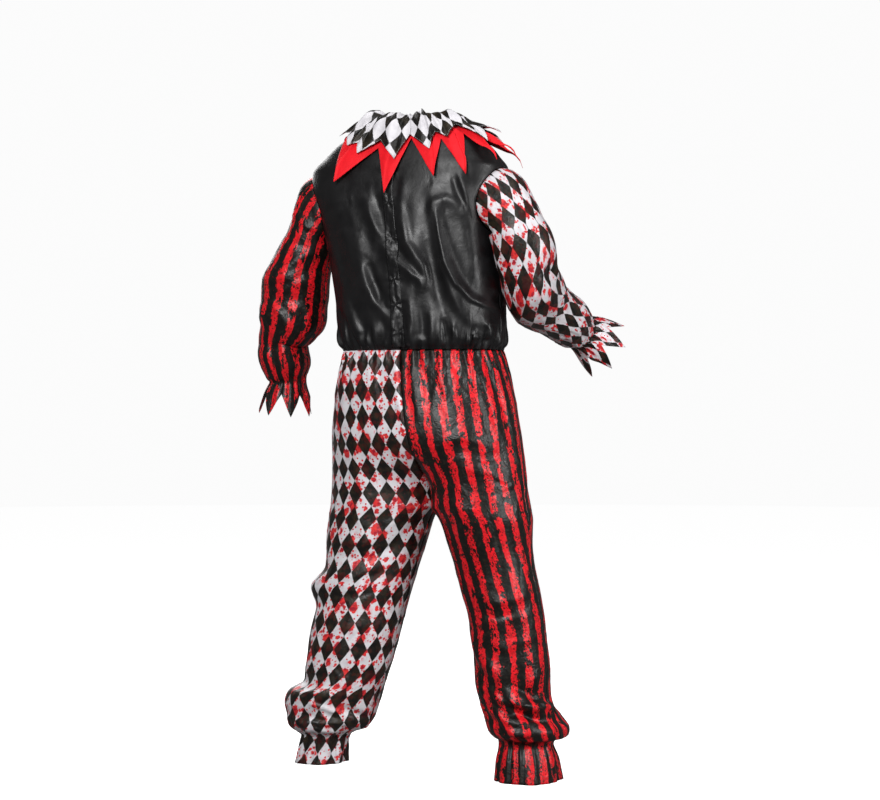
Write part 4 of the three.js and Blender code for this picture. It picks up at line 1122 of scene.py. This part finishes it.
def bodice_panel(name, start_quarter, end_quarter, across):
    """A panel between quarter turns, its side edges drawn in round the armholes."""
    levels = bodice_levels()[:, None]
    share = np.linspace(0, 1, across + 1)[None, :]
    power = 2 * (end_quarter - start_quarter)
    full = (end_quarter - start_quarter) * math.pi / 2
    edge = armhole_edge(levels)
    start = edge if start_quarter % 2 == 0 else 0 * edge
    end = edge if end_quarter % 2 == 0 else 0 * edge
    moved = start * (1 - share) ** power - end * share ** power
    angle = start_quarter * math.pi / 2 + full * share + moved
    base = bodice(angle, levels + 0 * share)
    guide = stack(base[..., 0] / 2, base[..., 1] + 8, np.where(base[..., 2] > -80, 120, 0))
    normals = grid_normals(base, guide)
    rise = bodice_relief(base, normals) + sewn_edge(base, seam_distance(base), 1.5)
    points = base + normals * rise[..., None]
    middle = (start_quarter + end_quarter) / 4 * math.pi
    sideways = (angle - middle) * HALF_WIDTH / (math.pi / 2) * LAID_OUT
    cut = np.stack([sideways, -arc_down(base)[:, None] + 0 * angle], -1)
    piece = cloth_sheet(name, points, cut, SATIN_WALL, lambda p: (p[0], p[1] + 8, 0))
    return piece, points, normals, cut


def bodice_pieces():
    kept = {}
    for node, start, end, across in (
        ("back_left", 0, 1, 86), ("back_right", 1, 2, 86), ("front", 2, 4, 150)
    ):
        piece, points, normals, cut = bodice_panel(f"{node}_satin", start, end, across)
        hand_over(piece, node, SATIN, cut)
        kept[node] = (points, normals)
    return kept


def placket_piece():
    """The lapped strip over the centre back, with a pressed fold down its middle."""
    half = 13.5
    levels = spaced((-40, -502, 190))[:, None]
    across = np.linspace(-1, 1, 15)[None, :]
    angle = math.pi / 2 + across * half / (TORSO_AT[2](levels) * 1.18)
    base = bodice(angle, levels + 0 * across)
    normals = grid_normals(base, stack(0 * base[..., 0], 1, 0))
    edge = 1 - np.abs(across)
    rise = bodice_relief(base, normals) - 0.45 * np.exp(-((across * half / 3) ** 2))
    pucker = 0.72 * soft_noise(base / np.array([8, 8, 7]) + 2.2)
    rise = rise + 2.3 + pucker * ease(0, 0.5, edge) - 0.9 * ease(0.22, 0, edge)
    points = base + normals * rise[..., None]
    cut = np.stack([across * half + 0 * levels, -arc_down(base)[:, None] + 0 * across], -1)
    piece = cloth_sheet("back_placket_satin", points, cut, PLACKET_WALL, lambda p: (0, 1, 0))
    hand_over(
        piece, "back_placket", SATIN, cut
    )
    return points, normals


# ---------------------------------------------------------------- trousers


def leg_levels():
    hips = spaced((-0.9995, 0, 97))[:-1]
    return np.concatenate([hips, spaced((0, 4, 50), (4, 8, 48), (8, 14, 60), (14, 16, 20))])


def flat_widths(widths, level, hip, blouse, frill):
    """A row's width in the flat cloth: gathered rows are wider flat than they lie."""
    flat = widths.copy()
    seat, top, elastic = (int(np.argmin(np.abs(level - at))) for at in (hip, blouse, frill))
    flat[:seat] = flat[seat]
    ruffle = flat[elastic:].max()
    flat[top:elastic] = mix(flat[top], ruffle, np.linspace(0, 1, elastic - top))
    flat[elastic:] = ruffle
    kernel = np.ones(15) / 15
    return np.convolve(np.pad(flat, 7, mode="edge"), kernel, "valid")


def leg_cut(base, level, side):
    """Where each point lies in the flat panel: round from the grain line, and down."""
    steps = length(np.diff(base, axis=1))[..., 0]
    round_arc = np.concatenate([np.zeros((len(base), 1)), np.cumsum(steps, 1)], 1)
    outward_x = base[..., 0] * side
    grain = np.empty(len(base))
    share = np.clip(-level, 0, 1)
    fork_x, waist_x = (80, 100) if side > 0 else (149, 96)
    for row, arc in enumerate(round_arc):
        if level[row] >= 0:
            grain[row] = arc[len(arc) // 2]
            continue
        order = 1 if outward_x[row][-1] > outward_x[row][0] else -1
        rising = np.maximum.accumulate(outward_x[row][::order])
        grain[row] = np.interp(mix(fork_x, waist_x, share[row]), rising, arc[::order])
    flat = flat_widths(round_arc[:, -1], level, hip=-0.62, blouse=11, frill=14.2)
    across = (round_arc - grain[:, None]) * (flat / round_arc[:, -1])[:, None]
    return np.stack([across * side, -arc_down(base)[:, None] + 0 * across], -1)


def leg_panel(name, surface, side, start, end):
    """The back or front half of a leg, between its inner and outer seams."""
    elastic = surface.levels[1]
    levels = leg_levels()[:, None]
    share = np.linspace(0, 1, 85)[None, :]
    turn = start + (end - start) * share
    base = surface(turn + 0 * levels, levels + 0 * turn)
    outward = 1 if start == 0 else -1
    guide = base - base.mean(1, keepdims=True) + np.array([0, 60 * outward, 0])
    normals = grid_normals(base, guide)
    z = base[..., 2]
    ankle = surface(np.array([0.25]), np.array([float(elastic)]))[0, 2]
    quiet = ease(WAIST, WAIST - 26, z) * ease(ankle + 4, ankle + 30, z)
    hem = ease(elastic + 0.3, elastic + 0.8, levels)
    rise = crease(base, normals, TROUSER_CREASES) * quiet
    rise = rise + crumple(base, size=46, high=2.0, stretch=1.5) * np.maximum(quiet, 0.5 * hem)
    rise = rise + sewn_edge(base, seam_distance(base), 6.5 + side) * quiet
    points = base + normals * rise[..., None]
    cut = leg_cut(base, levels[:, 0], side)
    return cloth_sheet(name, points, cut, SATIN_WALL, lambda p: (0, outward, 0)), points, normals, cut


def trousers():
    kept = {}
    for leg, side, rows, folds, material, slot in (
        ("leg_left", 1, LEG_LEFT, LEG_LEFT_FOLDS, HARLEQUINED, "harlequin_satin"),
        ("leg_right", -1, LEG_RIGHT, LEG_RIGHT_FOLDS, STRIPED, "striped_satin"),
    ):
        surface = trouser_leg(side, rows, folds)
        for half, start, end in (("back", 0, 0.5), ("front", 0.5, 1)):
            node = f"{leg}_{half}"
            piece, points, normals, cut = leg_panel(f"{node}_cloth", surface, side, start, end)
            hand_over(
                piece, node, material, cut
            )
            kept[node] = (points, normals)
    return kept


# ---------------------------------------------------------------- sleeves


def cuff_share(turn):
    """How far down its frill the cloth reaches: all of it at a point, less in a notch."""
    place = (turn * CUFF_POINTS) % 1
    return mix(CUFF_NOTCH, 1, 1 - np.abs(2 * place - 1))


def sleeve_piece(node, side, rows, folds, material, girth):
    surface = sleeve(side, rows, folds)
    last, elastic = surface.levels
    shoulder = spaced((-1, 0, 34))[:-1]
    levels = np.concatenate([shoulder, spaced((0, elastic, 84), (elastic, last, 26))])[:, None]
    turn = np.linspace(0.5, 1.5, 141)[None, :]
    pointed = elastic + (levels - elastic) * cuff_share(turn)
    reached = np.where(levels > elastic, pointed, levels + 0 * turn)
    base = surface(turn + 0 * levels, reached)
    normals = grid_normals(base, base - base.mean(1, keepdims=True))
    before = reached < elastic
    away = np.abs(elastic - reached)
    quiet = np.where(before, ease(0.05, 0.7, away), 0.35 * ease(0.3, 1, away))
    quiet = quiet * ease(-1, -0.8, reached)
    rise = crease(base, normals, SLEEVE_CREASES) * np.where(before, quiet, 0)
    rise = rise + crumple(base, size=40, high=1.9, stretch=1.4) * quiet
    rise = rise + sewn_edge(base, seam_distance(base), 11.5 + side) * quiet
    rise = rise - 1.4 * np.exp(-(((reached + 1) / 0.05) ** 2))
    points = base + normals * rise[..., None]
    down, moved = surface.down_the_arm(turn, reached, base)
    cut = np.stack([((turn - 1) * girth + moved) * side + 0 * levels, -down], -1)
    middle = base[len(base) // 2].mean(0)
    piece = cloth_sheet(f"{node}_cloth", points, cut, SATIN_WALL, lambda p: tuple(p - middle))
    hand_over(piece, node, material, cut)
    return points, normals


# ---------------------------------------------------------------- collar


def tier_edge(points, notch, slack):
    """The corners of a tier's edge, point and notch in turn: way, reach, lift."""
    edge = [(OPENING_WAY, notch, 0)]
    for way, reach, lift, notch_way, notch_reach in points:
        edge += [(way, reach, lift), (notch_way, notch_reach, lift * slack)]
    return np.array(edge, float)


NECK_RADIUS = 64


def straight_edge(start, end, t):
    """The way and reach of a point on the straight line from one corner to the next."""
    turned = np.radians(end[..., 0] - start[..., 0])
    near, far = NECK_RADIUS + start[..., 1], NECK_RADIUS + end[..., 1]
    x = mix(near, far * np.cos(turned), t)
    y = mix(0, far * np.sin(turned), t)
    return np.radians(start[..., 0]) + np.arctan2(y, x), np.hypot(x, y) - NECK_RADIUS


def laid_straight(edge, i, t):
    """Ways and reaches that make the edge from corner to corner straight where it lies."""
    way, reach = straight_edge(edge[i], edge[i + 1], t)
    corner = over_shoulder(np.radians(edge[:, 0]), edge[:, 1], 0 * edge[:, 1])
    wanted = corner[i] + (corner[i + 1] - corner[i]) * t[..., None]
    for _ in range(5):
        here = over_shoulder(way, reach, 0 * reach)
        by_way = (over_shoulder(way + 0.01, reach, 0 * reach) - here) / 0.01
        by_reach = (over_shoulder(way, reach + 1.5, 0 * reach) - here) / 1.5
        off = wanted - here
        a, b, c, p, q = (
            (left * right).sum(-1)
            for left, right in (
                (by_way, by_way), (by_way, by_reach), (by_reach, by_reach), (by_way, off), (by_reach, off)
            )
        )
        whole = np.maximum(a * c - b * b, 1e-3)
        way = way + np.clip((c * p - b * q) / whole, -0.06, 0.06)
        reach = np.clip(reach + np.clip((a * q - b * p) / whole, -12, 12), 20, 230)
    return way, reach


def collar_tier(node, points, notch, base, neck, ruffle, slack, flutes, material, per_side, rows):
    """A tier of points, laid over the shoulders from the neck; flutes are its gathers' rise."""
    gathered = flutes >= 1
    edge = tier_edge(points, notch, slack)
    last = len(edge) - 1
    place = np.linspace(0, last, last * per_side + 1)[None, :]
    share = np.linspace(0, 1, rows + 1)[:, None] ** 1.25
    i = np.clip(np.floor(place).astype(int), 0, last - 1)
    t = place - i
    way, tip_reach = laid_straight(edge, i, t)
    way = way + 0 * share
    reach = tip_reach * share
    lift = mix(edge[i, 2], edge[i + 1, 2], ease(0, 1, t)) * share * share
    root = mix(neck, base, ease(0, 40, reach))
    ends = ease(0, 1, place) * ease(last, last - 1, place)
    wave = 0.5 - 0.5 * np.cos(TURN * place)
    lifted = ruffle * wave * ends * ease(0, 30, reach) * ease(140, 50, reach)
    turn = way / TURN
    # a flute is a gathered fold that stands up from the neck and dies out down the tier
    flute = flutes * (0.5 + 0.5 * uneven(turn, 19, 61)) * ease(0, 12, reach) * ease(92, 26, reach)
    fine = 0.16 * flutes * uneven(turn, 52, 62) * ease(30, 4, reach)
    tip = np.where(i % 2 == 0, 1 - t, t)
    press = np.exp(-((tip * 2.4) ** 2))
    centre_fold = press * (0.8 * ease(0.5, 0.9, share) if gathered else 3.6 * ease(0.3, 0.85, share))
    curl = 1.2 * soft_noise(stack(way * 14, share * 3.2, 0 * way + 1.5)) * ease(0.1, 0.6, share)
    total = root + lift + lifted + 2 + flute + fine + centre_fold + np.maximum(curl, -0.8)
    laid = over_shoulder(way, reach, total)
    guide = laid.copy()
    guide[..., 2] = 120
    normals = grid_normals(laid, guide)
    cloth_radius = 168 if gathered else 132
    cut = np.stack([(way - math.radians(OPENING_WAY + 180)) * cloth_radius, -reach], -1)
    piece = cloth_sheet(f"{node}_cloth", laid, cut, COLLAR_WALL, lambda p: (p[0], p[1], 120))
    hand_over(piece, node, material, cut)
    return laid, normals


# ---------------------------------------------------------------- sewing


def one_stitch():
    """A single stitch of thread, a flattened bead one long."""
    deselect()
    bpy.ops.mesh.primitive_uv_sphere_add(segments=5, ring_count=4, radius=0.5)
    bead = bpy.context.object
    bpy.ops.object.mode_set(mode="EDIT")
    bpy.ops.mesh.select_all(action="SELECT")
    bpy.ops.transform.resize(value=(1, 0.3, 0.3))
    bpy.ops.object.mode_set(mode="OBJECT")
    corners = np.array([v.co[:] for v in bead.data.vertices])
    faces = [tuple(face.vertices) for face in bead.data.polygons]
    bpy.data.objects.remove(bead, do_unlink=True)
    return corners, faces


BEAD, BEAD_FACES = one_stitch()


def sewing(name, lines, material, pitch=3.2, long=2.3, thick=0.9):
    """Rows of stitches along lines of points, each lying on the cloth."""
    placed, faces = [], []
    for points, normals in lines:
        steps = length(np.diff(points, axis=0))[:, 0]
        passed = np.concatenate([[0], np.cumsum(steps)])
        count = int(passed[-1] // pitch)
        if count < 2:
            continue
        at = (np.arange(count) + 0.5) * pitch
        here, ahead, up = (
            np.stack([np.interp(where, passed, values[:, n]) for n in range(3)], -1)
            for where, values in ((at, points), (at + 0.8, points), (at, normals))
        )
        along = unit(ahead - here + 1e-6)
        side = unit(np.cross(unit(up), along))
        up = np.cross(along, side)
        for n in range(count):
            offset = len(placed) * len(BEAD)
            placed.append(
                here[n] + up[n] * 0.12 + BEAD[:, :1] * long * along[n]
                + BEAD[:, 1:2] * thick * side[n] * 1.6 + BEAD[:, 2:] * thick * up[n]
            )
            faces += [tuple(offset + k for k in face) for face in BEAD_FACES]
    mesh = bpy.data.meshes.new(name)
    mesh.from_pydata((np.concatenate(placed) / 1000).tolist(), [], faces)
    mesh.uv_layers.new(name="cut")
    mesh.update()
    piece = bpy.data.objects.new(name, mesh)
    bpy.context.collection.objects.link(piece)
    deselect()
    piece.select_set(True)
    bpy.context.view_layer.objects.active = piece
    bpy.ops.object.shade_smooth()
    mesh.materials.append(material)
    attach(piece, "root")


def nearest_row(points, z):
    return int(np.argmin(np.abs(points[:, points.shape[1] // 2, 2] - z)))


def row_of(piece, row):
    return piece[0][row], piece[1][row]


def rows_at(piece, *heights):
    """The rows of a panel whose middles are nearest to these heights."""
    return [row_of(piece, nearest_row(piece[0], z)) for z in heights]


def column_of(piece, column, top, bottom):
    """The part of a panel's column between two heights."""
    rows = (piece[0][:, column, 2] < top) & (piece[0][:, column, 2] > bottom)
    return piece[0][rows, column], piece[1][rows, column]


body = bodice_pieces()
strip = placket_piece()
legs = trousers()
arms = {
    "sleeve_left": sleeve_piece(
        "sleeve_left", 1, SLEEVE_LEFT, SLEEVE_LEFT_FOLDS, STRIPED, 450
    ),
    "sleeve_right": sleeve_piece(
        "sleeve_right", -1, SLEEVE_RIGHT, SLEEVE_RIGHT_FOLDS, HARLEQUINED, 486
    ),
}
under = collar_tier(
    "collar_under", UNDER_POINTS, notch=65, base=4, neck=0.7, ruffle=1.2, slack=0, flutes=0.6,
    material=FELT, per_side=12, rows=40,
)
over = collar_tier(
    "collar_over", OVER_POINTS, notch=60, base=9, neck=3.4, ruffle=7, slack=0.35, flutes=19.0,
    material=CHECKED, per_side=14, rows=42,
)

sewing(
    "bodice_topstitch",
    [rows_at(panel, height)[0] for height in (WAIST + 4, WAIST + 26) for panel in body.values()]
    + [column_of(strip, c, -60, -500) for c in (2, 12)]
    + [column_of(body["back_left"], 1, -112, -262), column_of(body["back_right"], -2, -112, -262)],
    BLACK_THREAD,
)
WRIST_ROWS = (115, 121)
for name, leg, heights, arm, slot in (
    ("harlequin_topstitch", "leg_left", (-1356, -1364, -1410), "sleeve_right", "harlequin_satin"),
    ("striped_topstitch", "leg_right", (-1363, -1371, -1434), "sleeve_left", "striped_satin"),
):
    lines = rows_at(legs[f"{leg}_back"], *heights) + rows_at(legs[f"{leg}_front"], *heights)
    sewing(name, lines + [row_of(arms[arm], row) for row in WRIST_ROWS], BLACK_THREAD)
sewing("collar_under_stitch", [row_of(under, 38)], RED_THREAD, 3.4, 2.4, 0.8)
sewing("collar_over_stitch", [row_of(over, 41)], PALE_THREAD, 2.4, 2.2, 1.0)
